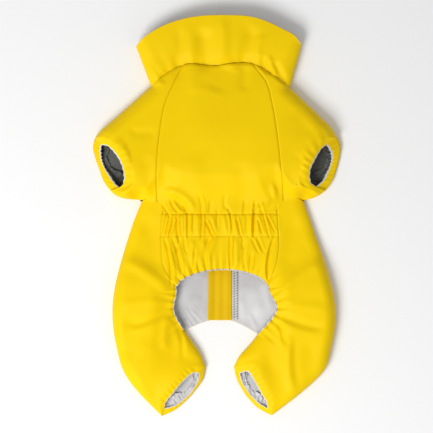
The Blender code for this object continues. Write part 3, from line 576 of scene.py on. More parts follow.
def level(table, column, y):
    """A height column against y, with its corners rounded off."""
    rows = np.array(table[::-1], float)
    shifts = (-9.0, -3.0, 3.0, 9.0)
    return sum(np.interp(y + shift, rows[:, 0], rows[:, column]) for shift in shifts) / len(shifts)


def between(start, end, keys):
    """Points along the straight line from one point to another, or between two rows of points."""
    return start * (1 - keys[:, None]) + end * keys[:, None]


def run_of(line):
    """How far along a line each of its points lies."""
    return np.concatenate([[0.0], np.cumsum(np.linalg.norm(np.diff(line, axis=0), axis=1))])


def nearest(x, y, line):
    """Plan distance to a polyline, and how far along it the nearest point lies."""
    start, along = line[:-1], line[1:] - line[:-1]
    length = np.linalg.norm(along, axis=1)
    before = np.concatenate([[0.0], np.cumsum(length)[:-1]])
    best = np.full(x.shape, np.inf)
    place = np.zeros(x.shape)
    for (sx, sy), (ax, ay), size, run in zip(start, along, length, before):
        t = np.clip(((x - sx) * ax + (y - sy) * ay) / size**2, 0.0, 1.0)
        d = np.hypot(x - sx - ax * t, y - sy - ay * t)
        closer = d < best
        best = np.where(closer, d, best)
        place = np.where(closer, run + t * size, place)
    return best, place


def to_nearest(x, y, lines):
    """Plan distance to whichever line is nearest."""
    return np.min([nearest(x, y, line)[0] for line in lines], axis=0)


def rise(d, width):
    """Quarter ellipse from 0 at a fold to 1 at its width."""
    return np.sqrt(1.0 - (1.0 - np.clip(d / width, 0.0, 1.0)) ** 2)


def creases(table, x, y):
    """Sum of the rows of a fold table: soft ridges and troughs that fade out at their ends."""
    total = np.zeros_like(x)
    for x0, y0, x1, y1, bow, width, height, lean in table:
        ax, ay = x1 - x0, y1 - y0
        length = math.hypot(ax, ay)
        along = ((x - x0) * ax + (y - y0) * ay) / length**2
        clipped = np.clip(along, 0.0, 1.0)
        across = ((x - x0) * ay - (y - y0) * ax) / length - 4.0 * bow * clipped * (1.0 - clipped)
        taper = ease(along / 0.34 + 0.35) * ease((1.0 - along) / 0.34 + 0.35)
        t = across / width
        total += height * taper * (1.0 - abs(lean) + 1.9 * lean * t) * np.exp(-t * t)
    return total


def ripple(place, pitch, seed):
    """Uneven puckers along a gathered edge, from -1 to 1."""
    wander = 0.9 * np.sin(place / (pitch * 3.1) + seed) + 0.6 * np.sin(place / (pitch * 1.7) + 2.3 * seed)
    size = 0.72 + 0.28 * np.sin(place / (pitch * 2.3) + 1.7 * seed)
    return size * np.sin(2.0 * math.pi * place / pitch + wander)


def seam_lines():
    """Plan lines of the seams that dip: the raglan seams, then the sides of the belly."""
    keys = np.linspace(0.0, 1.0, 41)
    upper = [curve(RAGLAN, 1, keys), curve(RAGLAN, 3, keys)]
    lower = [curve(LEG_LEFT, 1, keys * BELLY_V), curve(LEG_RIGHT, 1, keys * BELLY_V)]
    return upper, lower


def fold_lines():
    """Plan lines of the folds: one list for the upper garment, one for the legs."""
    upper, lower = [], []
    for side, sleeve, leg in ((0, SLEEVE_LEFT, LEG_LEFT), (-1, SLEEVE_RIGHT, LEG_RIGHT)):
        corner = np.array(COLLAR_TOP[side][1:3], float)[None]
        folded = np.linspace(SLEEVE_FOLD_U, 1.0, 33)
        upper.append(np.concatenate([corner, curve(sleeve, 1, folded)]))
        upper.append(curve(sleeve, 3, folded))
        lower.append(curve(leg, 3, np.linspace(0.0, 1.0, 49)))
        lower.append(curve(leg, 1, np.linspace(CROTCH_V, 1.0, 17)))
    return upper, lower


def arch_line():
    """Rim of the opening under the tail, from the left corner over the belly hem to the right corner."""
    left = curve(LEG_LEFT, 1, np.linspace(CROTCH_V, BELLY_V, 17))
    right = curve(LEG_RIGHT, 1, np.linspace(BELLY_V, CROTCH_V, 17))
    return np.concatenate([left[:-1], curve(ARCH, 1, np.linspace(0.0, 1.0, 41)), right[1:]])


def waist_line():
    """Lower edge of the bodice: the sleeves' sewn part on each side of the chest's edge."""
    sewn = np.linspace(0.0, SLEEVE_FOLD_U, 9)
    left, right = curve(SLEEVE_LEFT, 3, sewn), curve(SLEEVE_RIGHT, 3, sewn)
    return np.concatenate([left[:0:-1], curve(CHEST_LOW, 1, np.linspace(0.0, 1.0, 41)), right[1:]])


UPPER_FOLDS, LOWER_FOLDS = fold_lines()
UPPER_SEAMS, LOWER_SEAMS = seam_lines()
ARCH_RIM = arch_line()
NECK_LINE = curve(NECK, 1, np.linspace(0.0, 1.0, 61))
WAIST_LINE = waist_line()


def furrow(x, y, lines, depth, width):
    """A narrow dip along each line."""
    return -depth * sum(np.exp(-((nearest(x, y, line)[0] / width) ** 2)) for line in lines)


def fold_rise(y):
    """Height of the side folds, which climb from the body to the collar."""
    climb = ease((y - FOLD_CLIMB_Y[0]) / (FOLD_CLIMB_Y[1] - FOLD_CLIMB_Y[0]))
    return FOLD_Z_UPPER + (FOLD_Z_COLLAR - FOLD_Z_UPPER) * climb


def edge_height(x, y):
    """Height of the near layer's edge round the upper garment. At the waist it sits on the belly."""
    half = np.where(x > MIDDLE_X, WAIST_HALF[1], WAIST_HALF[0])
    inside = ease((half - np.abs(x - MIDDLE_X)) / WAIST_DROP) * ease((60.0 - y) / 30.0)
    return fold_rise(y) + (lower_face(x, y) + WAIST_SEAT - FOLD_Z_UPPER) * inside


def upper_shape(x, y):
    """Height of the upper garment before its seams are drawn in."""
    side = ease(np.abs(x - MIDDLE_X) / 120.0)
    top = level(PLATEAU, 1, y) * (1.0 - side) + level(PLATEAU, 2, y) * side
    edge = edge_height(x, y)
    beside = ease((np.abs(x - MIDDLE_X) - SIDE_X[0]) / (SIDE_X[1] - SIDE_X[0]))
    slope = WAIST_SLOPE + (SIDE_SLOPE - WAIST_SLOPE) * beside
    reach = rise(to_nearest(x, y, UPPER_FOLDS), ROLL_UPPER) * ease(nearest(x, y, WAIST_LINE)[0] / slope)
    detail = creases(SOFT_FOLDS, x, y) + creases(GATHERS, x, y) * ease((40.0 - y) / 10.0)
    return edge + (top - edge) * reach + detail * np.sqrt(reach)


def body_face(x, y):
    """Outer face of the chest and sleeves: it rolls over at the neck seam and dips at the raglan seams."""
    neck = nearest(x, y, NECK_LINE)[0]
    return upper_shape(x, y) + furrow(x, y, UPPER_SEAMS, 1.0, 1.1) - 1.9 * np.exp(-((neck / 2.0) ** 2))


def collar_face(x, y):
    """Outer face of the collar: it comes up from behind the neck seam and puckers along it."""
    neck, place = nearest(x, y, NECK_LINE)
    low = 3.2 * np.exp(-((neck / 7.0) ** 2))
    pucker = 0.55 * ripple(place, 11.0, 0.7) * np.exp(-neck / 14.0)
    return upper_shape(x, y) - low + pucker


def lower_face(x, y):
    """Outer face of the belly and legs, with its waist channel and its gathered rim."""
    side = ease((np.abs(x - MIDDLE_X) - 52.0) / 34.0)
    top = level(PLATEAU_LOW, 1, y) * (1.0 - side) + level(PLATEAU_LOW, 2, y) * side
    reach = rise(to_nearest(x, y, LOWER_FOLDS), ROLL_LOWER)
    belly = ease((76.0 - np.abs(x - MIDDLE_X)) / 8.0)
    channel = sum(np.exp(-(((y - line) / 1.1) ** 2)) for line in CHANNEL_Y) * belly
    across = np.clip((y - CHANNEL_Y[1]) / (CHANNEL_Y[0] - CHANNEL_Y[1]), 0.0, 1.0)
    puffed = np.sin(np.pi * across) * belly
    rim, place = nearest(x, y, ARCH_RIM)
    puckers = 1.9 * ripple(place, ARCH_PITCH, ARCH_SEED) * np.exp(-rim / 10.0)
    puckers -= 1.6 * np.exp(-((rim / 2.2) ** 2))
    puckers += 0.8 * ripple(place, 3.9, 0.4) * np.exp(-rim / 4.0)
    detail = creases(SOFT_FOLDS, x, y) + creases(GATHERS, x, y) - 0.8 * channel + 0.8 * puffed + puckers
    detail += furrow(x, y, LOWER_SEAMS, 0.5, 1.1)
    return FOLD_Z_LOWER + (top - FOLD_Z_LOWER) * reach + detail * reach


def far_layer(x, y):
    """Outer face of the layer that rests below. It lifts only at its folds and under the collar."""
    lift = COLLAR_LIFT * ease((y - COLLAR_LIFT_Y[0]) / (COLLAR_LIFT_Y[1] - COLLAR_LIFT_Y[0]))
    up = (fold_rise(y) - lift) * (1.0 - rise(to_nearest(x, y, UPPER_FOLDS), ROLL_BACK))
    down = FOLD_Z_LOWER * (1.0 - rise(to_nearest(x, y, LOWER_FOLDS), ROLL_BACK))
    return lift + np.maximum(up, down)


# ---------------------------------------------------------------- cloth building


def spread(count):
    """Stations from 0 to 1, closer together towards both ends."""
    even = np.linspace(0.0, 1.0, count + 1)
    clustered = 0.5 - 0.5 * np.cos(np.pi * even)
    return 0.45 * clustered + 0.55 * even


def stations(*spans):
    """Joined runs of stations: (start, end, how many steps)."""
    parts = [np.linspace(start, end, steps + 1)[:-1] for start, end, steps in spans]
    return np.concatenate([*parts, [spans[-1][1]]])


def patch(low, high, first, last, us, vs, hug=1.0):
    """Plan grid [u, v] between two lines along u (at v = 0 and 1) and two along v (at u = 0 and 1).

    A larger hug keeps the bends of the first two lines closer to them.
    """
    u, v = us[:, None, None], vs[None, :, None]
    across = (1 - u) * first[None] + u * last[None]
    low_bend = low[:, None] - (1 - u) * low[0] - u * low[-1]
    high_bend = high[:, None] - (1 - u) * high[0] - u * high[-1]
    return across + (1 - v) ** hug * low_bend + v**hug * high_bend


def surface(plan, height):
    """A plan grid with its heights."""
    return np.dstack([plan, height(plan[..., 0], plan[..., 1])])


def step_in(edge, inner, gap=SEAM_GAP / 2):
    """Draws an edge back towards the row inside it."""
    step = inner - edge
    return edge + step * (gap / np.maximum(np.linalg.norm(step, axis=-1, keepdims=True), np.abs(gap)))


def part_sides(grid):
    """Leaves half a seam's gap at the first and last rows."""
    grid[0], grid[-1] = step_in(grid[0], grid[1]), step_in(grid[-1], grid[-2])


def add_sheet(bm, grid, up, hem=(0, 0)):
    """Adds a mapped grid, its outer face up or down. hem: how many last rows are rim, then turned in."""
    rows, columns = grid.shape[0] - 1, grid.shape[1] - 1
    made = bmesh.ops.create_grid(bm, x_segments=rows, y_segments=columns, size=0.5)["verts"]
    points = (grid - np.array([*CENTRE, 0.0])) * MM
    for vert, point in zip(made, points.transpose(1, 0, 2).reshape(-1, 3)):
        vert.co = point
    row_of = {vert: index % (rows + 1) for index, vert in enumerate(made)}
    faces = list({face for vert in made for face in vert.link_faces})
    tilt = 0.0
    for face in faces:
        first = min(row_of[vert] for vert in face.verts)
        if first < rows // 2:
            face.normal_update()
            tilt += face.normal.z
        elif first >= rows - hem[1]:
            face.material_index = 1
        elif first >= rows - sum(hem):
            face.material_index = 2
    if (tilt > 0) != up:
        bmesh.ops.reverse_faces(bm, faces=faces)


def finish_mesh(name, bm, materials, smooth=True):
    mesh = bpy.data.meshes.new(name)
    bm.to_mesh(mesh)
    bm.free()
    for look in materials:
        mesh.materials.append(look)
    if smooth:
        mesh.shade_smooth()
    obj = bpy.data.objects.new(name, mesh)
    bpy.context.scene.collection.objects.link(obj)
    return obj


def cloth(name, sheets, outside, inside, wall=CLOTH, rim=None):
    """A thin shell from its sheets, joined where they meet, with its coated side inwards."""
    bm = bmesh.new()
    for grid, up, hem in sheets:
        add_sheet(bm, grid, up, hem)
    bmesh.ops.remove_doubles(bm, verts=bm.verts, dist=0.00002)
    obj = finish_mesh(name, bm, (outside, inside, rim) if rim else (outside, inside))
    shell = obj.modifiers.new("cloth", "SOLIDIFY")
    shell.thickness = wall * MM
    shell.offset = -1.0
    shell.material_offset = 1
    return obj


def rolled(outer, lip, steps, bulge, swell):
    """Rows from the line round a cuff to its lip, rolled over on the way."""
    rows = []
    for w in np.linspace(0.0, 1.0, steps + 1)[1:]:
        row = outer * (1.0 - w) + lip * w
        row[:, 2] += bulge * swell * math.sin(math.pi * w)
        rows.append(row)
    return np.array(rows)


# ---------------------------------------------------------------- panels

def neck_keys(us, side):
    """Where a sleeve's upper edge lies along the neck seam."""
    keys = NECK_SHARE * (1.0 - us / SLEEVE_FOLD_U)
    return 1.0 - keys if side else keys


def swelling(keys):
    """From 0 at one end of a cuff to 1 in its middle and back to 0."""
    swell = np.sin(np.pi * keys)
    swell[-1] = 0.0
    return swell


def lead_to(sheet, heights, keys, start):
    """Eases a sheet's heights into those of its cuff, from one station on."""
    towards = ease((keys - start) / (1.0 - start))[:, None]
    sheet[..., 2] = sheet[..., 2] * (1.0 - towards) + heights * towards


def mouth(near, far, cuff, vs, heights, gathers, crumple, bulge):
    """Rolls both sheets of a tube over its cuff and turns the hem in. Gives the rows to add to each."""
    mouth_z, near_z, far_z = heights[1:4]
    swell = swelling(vs)
    near_lip, far_lip = curve(cuff, 3, vs), curve(cuff, 5, vs)
    length = run_of(near_lip)
    tuck = ripple(length, gathers, 2.1) * np.minimum(1.0, 3.0 * swell)
    across = far_lip - near_lip
    width = np.maximum(np.linalg.norm(across, axis=1, keepdims=True), 1e-6)
    out = across / width
    near_height, far_height = (mouth_z + (lip_z - mouth_z) * swell for lip_z in (near_z, far_z))
    near_rim = np.column_stack([near_lip - 0.5 * out * tuck[:, None], near_height])
    near_rim[:, 2] += 0.5 * tuck
    far_tuck = ripple(length, gathers * 0.8, 4.4) * np.minimum(1.0, 3.0 * swell)
    far_rim = np.column_stack([far_lip + 0.6 * out * far_tuck[:, None], far_height])
    near_roll = rolled(near[-1], near_rim, 8, bulge, swell)
    far_roll = rolled(far[-1], far_rim, 8, 0.6, swell)
    for w, row in zip(np.linspace(0.125, 1.0, 8), near_roll):
        row[:, 2] += 0.5 * tuck * math.sin(math.pi * w)
    for w, row in zip(np.linspace(0.125, 1.0, 8), far_roll):
        row[:, :2] += 0.7 * out * (far_tuck * math.sin(math.pi * w))[:, None]
    near_hem, far_hem = [], []
    for w in np.linspace(0.0, 1.0, 6)[1:]:
        row = near_rim.copy()
        row[:, :2] -= out * (4.5 * w * swell)[:, None]
        row[:, 2] -= (0.6 + 3.2 * w) * swell
        near_hem.append(row)
    reach = 0.36 + 0.6 * ease((np.abs(vs - 0.44) - 0.10) / 0.16)
    for w in np.linspace(0.0, 1.0, 15)[1:]:
        row = far_rim.copy()
        drape = 1.3 * np.sin(length * 0.62 + 6.0 * w) * np.sin(length * 0.31 + 2.0 + 4.1 * w)
        row[:, :2] -= out * np.minimum(width[:, 0] * reach * w, width[:, 0] * w)[:, None]
        floor_z = 2.0 + crumple * (1.2 + drape + 0.6 * np.sin(length * 1.7 + 9.0 * w))
        drop = ease(w * 2.4)
        row[:, 2] = far_rim[:, 2] * (1.0 - drop) + np.minimum(floor_z, far_rim[:, 2]) * drop
        row[:, 2] = np.maximum(row[:, 2], 1.6)
        far_hem.append(row)
    return [near_roll, near_hem], [far_roll, far_hem]


def sleeve(name, outline, cuff, side):
    """Raglan sleeve: near and far sheets that meet at the folds, then the roll to the cuff and its hem."""
    column = 1 + 2 * side
    us = stations((0.0, SLEEVE_FOLD_U, 34), (SLEEVE_FOLD_U, 1.0, 60))
    vs = spread(104)
    crest_z, outline_z = SLEEVE_CUFF_Z[0], SLEEVE_CUFF_Z[-1]
    folded = us >= SLEEVE_FOLD_U - NEAR
    upper, lower = curve(outline, 1, us), curve(outline, 3, us)
    upper[~folded] = curve(NECK, 1, neck_keys(us[~folded], side))
    swell = swelling(vs)
    plan = patch(upper, lower, curve(RAGLAN, column, vs), curve(cuff, 1, vs), us, vs, SLEEVE_HUG)
    near = surface(plan, body_face)
    lead_to(near, FOLD_Z_UPPER + (crest_z - FOLD_Z_UPPER) * np.sqrt(swell), us, 0.84)
    run = 80.0 * vs
    near[..., 2] += 0.9 * ripple(run, 7.5, 1.1) * np.exp(-(1.0 - us)[:, None] * 11.0) * swell
    share = np.clip(us / SLEEVE_FOLD_U, 0.0, 1.0)
    back_neck = straight(BACK_NECK, column, BACK_NECK_SHARE * (1 - share))
    back_upper = np.where(folded[:, None], upper, back_neck)
    waist = np.array([RAGLAN_BACK[-1][column : column + 2], outline[2][3:5]], float)
    back_lower = np.where(folded[:, None], lower, between(*waist, share))
    plan = patch(back_upper, back_lower, curve(RAGLAN_BACK, column, vs), curve(cuff, 7, vs), us, vs)
    far = surface(plan, far_layer)
    lead_to(far, FOLD_Z_UPPER + (outline_z - FOLD_Z_UPPER) * swell, us, 0.88)
    for edge in (0, -1):
        near[folded, edge, 2] = far[folded, edge, 2] = fold_rise(near[folded, edge, 1])
    near_rows, far_rows = mouth(near, far, cuff, vs, SLEEVE_CUFF_Z, 7.0, 0.7, 1.5)
    near[0] = step_in(near[0], near[1])
    far[0] = step_in(far[0], far[1])
    open_ = np.flatnonzero(~folded)
    for sheet in (near, far):
        sheet[open_, 0] = step_in(sheet[open_, 0], sheet[open_, 1], COLLAR_GAP)
        sheet[open_, -1] = step_in(sheet[open_, -1], sheet[open_, -2])
    # The sleeve's inside faces and turned-in hem take the dark painted shade, not the silver coating.
    return tube(name, near, near_rows, far, far_rows, SLEEVE_PAINTED_SHADE)


def tube(name, near, near_rows, far, far_rows, inside):
    """A sleeve or leg from its two sheets and the rows that each has beyond its cuff."""
    sheets = []
    for grid, rows, up, rim in ((near, near_rows, True, 1), (far, far_rows, False, 2)):
        hem = (rim, len(rows[1]) - rim + 1)
        sheets.append((np.concatenate([grid, *(np.array(run) for run in rows)]), up, hem))
    # inside is the silver coating for the legs and the dark painted shade for the sleeves.
    return cloth(name, sheets, YELLOW, inside, rim=SILVER)


def leg(name, table, cuff):
    """Hind leg: wraps from the belly seam over the outer fold to the back seam, closed below the crotch."""
    vs = stations((0.0, BELLY_V, 74), (BELLY_V, CROTCH_V, 44), (CROTCH_V, 1.0, 34))
    us = spread(76)
    crest_z, outline_z = LEG_CUFF_Z[0], LEG_CUFF_Z[-1]
    inner, outer, back_seam = curve(table, 1, vs), curve(table, 3, vs), curve(table, 5, vs)
    joined = vs >= CROTCH_V - NEAR
    inner = np.where(joined[:, None], back_seam, inner)
    under = between(inner[0], outer[0], us)
    under[:, 1] += UNDERLAP * np.sin(np.pi * us)
    near = surface(patch(inner, outer, under, curve(cuff, 1, us), vs, us), lower_face)
    top = between(back_seam[0], outer[0], us)
    far = surface(patch(back_seam, outer, top, curve(cuff, 7, us), vs, us), far_layer)
    swell = swelling(us)
    lead_to(near, FOLD_Z_LOWER + (crest_z - FOLD_Z_LOWER) * np.sqrt(swell), vs, 0.93)
    lead_to(far, FOLD_Z_LOWER + (outline_z - FOLD_Z_LOWER) * swell, vs, 0.94)
    for sheet in (near, far):
        sheet[:, -1, 2] = FOLD_Z_LOWER
        sheet[joined, 0, 2] = FOLD_Z_LOWER
    near_rows, far_rows = mouth(near, far, cuff, us, LEG_CUFF_Z, 6.0, 1.7, 0.6)
    sewn = np.flatnonzero(~joined)
    for sheet in (near, far):
        sheet[sewn, 0] = step_in(sheet[sewn, 0], sheet[sewn, 1])
    far[0] = step_in(far[0], far[1])
    far[0, -1] = near[0, -1]
    return tube(name, near, near_rows, far, far_rows, SILVER)


def chest():
    """Chest panel, from the neck seam to the waist, between the raglan seams."""
    us, vs = spread(124), spread(136)
    top = curve(NECK, 1, NECK_SHARE + (1.0 - 2.0 * NECK_SHARE) * us)
    low = curve(CHEST_LOW, 1, us)
    grid = surface(patch(top, low, curve(RAGLAN, 1, vs), curve(RAGLAN, 3, vs), us, vs), body_face)
    part_sides(grid)
    grid[:, 0] = step_in(grid[:, 0], grid[:, 1], COLLAR_GAP)
    return cloth("chest_panel_cloth", [(grid, True, (0, 0))], YELLOW, SILVER)


def belly():
    """Belly panel: its top edge is tucked under the chest's, and it ends at the arched opening."""
    us, vs = np.linspace(0.0, 1.0, 151), stations((0.0, 0.3, 30), (0.3, 1.0, 66))
    left, right = curve(LEG_LEFT, 1, vs * BELLY_V), curve(LEG_RIGHT, 1, vs * BELLY_V)
    top = between(left[0], right[0], us)
    grid = surface(patch(top, curve(ARCH, 1, us), left, right, us, vs), lower_face)
    tucked = (grid[..., 1] - BELLY_TUCK_Y[0]) / (BELLY_TUCK_Y[1] - BELLY_TUCK_Y[0])
    grid[..., 2] -= BELLY_TUCK * ease(tucked)
    part_sides(grid)
    return cloth("belly_panel_cloth", [(grid, True, (0, 0))], YELLOW, SILVER)


def arch_hem():
    """The rim of the opening, turned in over its elastic from leg to leg."""
    run = run_of(ARCH_RIM)
    at = np.linspace(0.0, run[-1], 241)
    line = np.stack([np.interp(at, run, ARCH_RIM[:, axis]) for axis in (0, 1)], axis=-1)
    along = np.gradient(line, axis=0)
    out = np.stack([along[:, 1], -along[:, 0]], axis=-1) / np.linalg.norm(along, axis=1, keepdims=True)
    z = lower_face(line[:, 0], line[:, 1])
    ends = ease(at / 14.0) * ease((at[-1] - at) / 14.0)
    scallop = 0.5 * ripple(at, ARCH_PITCH, ARCH_SEED) * ends
    rows = []
    over = ((-0.3, 0.0), (0.35, -0.3), (0.6, -1.0), (0.3, -1.8))
    turned_in = ((-0.8, -2.4), (-2.6, -2.7), (-5.0, -2.6))
    for reach, drop in over + turned_in:
        plan = line + out * (reach * ends + scallop * (reach > -1))[:, None]
        rows.append(np.column_stack([plan, z + drop * ends]))
    return cloth("arch_hem", [(np.array(rows).transpose(1, 0, 2), True, (0, 0))], SILVER, SILVER, 0.5)


def back(name, side):
    """Back panel from the neck seam to the tail hem, between the outer seams and the zip."""
    column = 1 + 2 * side
    beside_leg = curve((LEG_LEFT, LEG_RIGHT)[side], 5, np.linspace(0.0, CROTCH_V, 111)[2:])
    outer = np.concatenate([curve(RAGLAN_BACK, column, spread(80)), beside_leg])
    edge = MIDDLE_X + PANEL_EDGE * (1 if side else -1)
    tail = curve(TAIL, 1, np.linspace(0.0, 1.0, 61))
    tail_y = np.interp(edge, tail[:, 0], tail[:, 1])
    share = run_of(outer)
    share /= share[-1]
    neck_y = BACK_NECK[-1][2]
    inner = np.stack([np.full(len(share), edge), neck_y + (tail_y - neck_y) * share], axis=-1)
    us = spread(46)
    neck = between(outer[0], inner[0], us)
    keys = np.interp(outer[-1, 0] + (edge - outer[-1, 0]) * us, tail[:, 0], np.linspace(0, 1, 61))
    grid = surface(patch(outer, inner, neck, curve(TAIL, 1, keys), share, us), back_face)
    grid[0] = step_in(grid[0], grid[1])
    part_sides(grid.swapaxes(0, 1))
    return cloth(name, [(grid, False, (0, 0))], YELLOW, SILVER)


def back_face(x, y):
    """The back panels rest flat, but for the ridges that stand up by the tail hem."""
    seat = ease((np.abs(x - MIDDLE_X) - 18.0) / 8.0)
    return far_layer(x, y) + np.maximum(creases(BACK_CREASES, x, y), 0.0) * seat


def collar():
    """Stand collar laid flat: the near layer and its hem, and the two halves behind it, open at the zip."""
    side_keys = neck_keys(np.linspace(0.0, SLEEVE_FOLD_U, 31), 0)[::-1]
    front = NECK_SHARE + (1.0 - 2.0 * NECK_SHARE) * np.linspace(0.0, 1.0, 91)
    us = np.concatenate([side_keys, front[1:-1], (1.0 - side_keys)[::-1]])
    vs = spread(54)
    seam, top = curve(NECK, 1, us), curve(COLLAR_TOP, 1, us)
    left, right = between(seam[0], top[0], vs), between(seam[-1], top[-1], vs)
    near = surface(patch(seam, top, left, right, us, vs), collar_face)
    near[0, :, 2], near[-1, :, 2] = fold_rise(near[0, :, 1]), fold_rise(near[-1, :, 1])
    under = np.sin(np.pi * us)[:, None] ** 0.5
    near[:, 0] = step_in(near[:, 0], near[:, 1], -1.6 * under)
    near[:, 0, 2] -= 0.3 * under[:, 0]
    hem = [near[:, -1] + np.array([0.0, 0.25 - 1.6 * w, -0.7 - 1.4 * w]) for w in (0.0, 0.5, 1.0)]
    swell = np.sqrt(np.sin(np.pi * np.clip(us, 0.0, 1.0)))[:, None]
    near_hem = [near[:, -1] + (row - near[:, -1]) * swell for row in hem]
    sheets = [(np.concatenate([near, np.array(near_hem).transpose(1, 0, 2)], axis=1), True, (0, 0))]
    for side in (0, 1):
        edge = MIDDLE_X + PANEL_EDGE * (1 if side else -1)
        fold = (left, right)[side]
        half = np.unique(np.append(np.round(spread(70), 6), BACK_NECK_SHARE))
        low = straight(BACK_NECK, 1 + 2 * side, half)
        x = fold[-1, 0] + (edge - fold[-1, 0]) * half
        high_y = np.interp(x, top[:, 0], top[:, 1]) - TOP_BACK_DROP * np.sin(np.pi * half / 2)
        high = np.stack([x, high_y], axis=-1)
        inner = between(low[-1], high[-1], vs)
        far = surface(patch(low, high, fold, inner, half, vs), far_layer)
        far[:, 0] = step_in(far[:, 0], far[:, 1], COLLAR_GAP)
        far[0] = near[0 if side == 0 else -1]
        sheets.append((far, False, (0, 0)))
    return cloth("collar_cloth", sheets, YELLOW, SILVER)


# ---------------------------------------------------------------- zip and its guard


def strip_face(x, y, above):
    """Height above the back layer at the middle, so that a strip lies level across the zip."""
    return far_layer(np.full_like(x, MIDDLE_X), y) + above


def strip(name, x_range, y_range, above, looks, columns, rows, wall, up=True, shape=None):
    """Long strip of cloth along the zip, a given height above the back layer."""
    x, y = np.meshgrid(np.linspace(*x_range, columns + 1), np.linspace(*y_range, rows + 1), indexing="ij")
    z = strip_face(x, y, above)
    if shape:
        x, z = shape(x, y, z)
    return cloth(name, [(np.dstack([x, y, z]), up, (0, 0))], *looks, wall)


def guard_shape(x, y, z):
    """The guard's free edge stands up, waves a little and is folded over; the rest lies nearly flat."""
    free = 1.0 - ease((x - GUARD_X[0]) / 9.0)
    wave = 0.35 * np.sin(y / 23.0 + 0.6) + 0.25 * np.sin(y / 9.5 + 1.9)
    pleat = np.sin((x - GUARD_X[0]) * 0.62 + 0.5 * np.sin(y / 40.0))
    z = z + 1.3 * free + wave * 0.5 * free + 0.32 * pleat * (1.0 - free)
    return x + (0.35 * np.sin(y / 17.0) - 0.1) * free, z


def allowance_drop(x):
    """How far the allowance has sloped down on to the back panel."""
    return 1.7 * ease((x - ALLOWANCE_X[0]) / 4.5)


def allowance_shape(x, _, z):
    return x, z - allowance_drop(x)


def tape_shape(way):
    """The tapes part above the slider."""

    def shape(x, y, z):
        inner = 1.0 - np.clip((np.abs(x - MIDDLE_X) - ZIP_SLIT) / (TAPE_HALF - ZIP_SLIT), 0.0, 1.0)
        away = 0.9 * ease((y - 214.0) / 6.0)
        return x + way * away * inner, z

    return shape


def blocks(name, boxes, looks, bevel, segments=1):
    """Rounded blocks in one piece: (lowest corner, highest corner) of each, in mm."""
    bm = bmesh.new()
    for low, high in boxes:
        low, high = np.array(low, float), np.array(high, float)
        made = bmesh.ops.create_cube(bm, size=1.0)["verts"]
        for vert in made:
            spot = (low + high) / 2 + np.array(vert.co) * (high - low) - np.array([*CENTRE, 0.0])
            vert.co = spot * MM
    bmesh.ops.bevel(
        bm,
        geom=list(bm.edges),
        offset=bevel * MM,
        offset_type="OFFSET",
        affect="EDGES",
        segments=segments,
        profile=0.5,
        material=-1,
    )
    return finish_mesh(name, bm, looks, smooth=False)


def bar(half, y_range, z_range, middle=MIDDLE_X):
    """A block across a middle line: (lowest corner, highest corner)."""
    return (middle - half, y_range[0], z_range[0]), (middle + half, y_range[1], z_range[1])


def stitches(name, line, pitch, size, look):
    """Thread dashes along a line of (x, y, z) points, each sunk a little into the cloth."""
    line = np.array(line, float)
    run = run_of(line)
    boxes = []
    for at in np.arange(pitch / 2, run[-1] - pitch / 2, pitch):
        spot = np.array([np.interp(at, run, line[:, axis]) for axis in range(3)])
        half = np.array(size) / 2
        boxes.append((spot - half, spot + half))
    return blocks(name, boxes, (look,), min(size) * 0.3)


# ---------------------------------------------------------------- making the garment


def declare(obj, node, flat=None, rests_on=("floor",), with_pieces=()):
    """Hides the part that a piece stands for and hangs the piece under the garment's body. Its cut in
    metres is not used.
    """
    if node:
        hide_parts(node)
    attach(obj, "garment")
    if flat:
        rests_on, with_pieces = list(rests_on), list(with_pieces)
    return obj


backs = ("back_left_cloth", "back_right_cloth")
declare(collar(), "collar", (0.41, 0.068))
declare(chest(), "chest_panel", (0.157, 0.180), rests_on=backs)
for side, (name, outline, cuff, flat, area) in enumerate(
    (
        ("sleeve_left", SLEEVE_LEFT, CUFF_LEFT, (0.340, 0.105), 0.0182),
        ("sleeve_right", SLEEVE_RIGHT, CUFF_RIGHT, (0.340, 0.100), 0.0168),
    )
):
    declare(sleeve(name + "_cloth", outline, cuff, side), name, flat)
for name, table, cuff, flat, area in (
    ("leg_left", LEG_LEFT, HIND_CUFF_LEFT, (0.165, 0.255), 0.0310),
    ("leg_right", LEG_RIGHT, HIND_CUFF_RIGHT, (0.172, 0.255), 0.0331),
):
    declare(leg(name + "_cloth", table, cuff), name, flat)

seam_key = np.interp([-CHANNEL_Y[1]], [0.0, 14.0, 36.0], [0.044, 0.10, 0.20])
seam_x = [curve(table, 1, seam_key)[0, 0] for table in (LEG_LEFT, LEG_RIGHT)]
x, y = np.linspace(seam_x[0] + 3.0, seam_x[1] - 3.0, 200), np.full(200, CHANNEL_Y[1])
line = np.column_stack([x, y, lower_face(x, y) + 0.02])
channel = declare(stitches("channel_stitches_0", line, 3.2, CHANNEL_STITCH, THREAD), None)
rim = declare(arch_hem(), None)
declare(
    belly(),
    "belly_panel",
    (0.150, 0.102),
    rests_on=backs,
    with_pieces=[rim, channel],
)
for side, (name, flat, area) in enumerate(
    (
        ("back_left", (0.095, 0.312), 0.0212),
        ("back_right", (0.098, 0.312), 0.0220),
    )
):
    declare(back(name + "_cloth", side), name, flat)

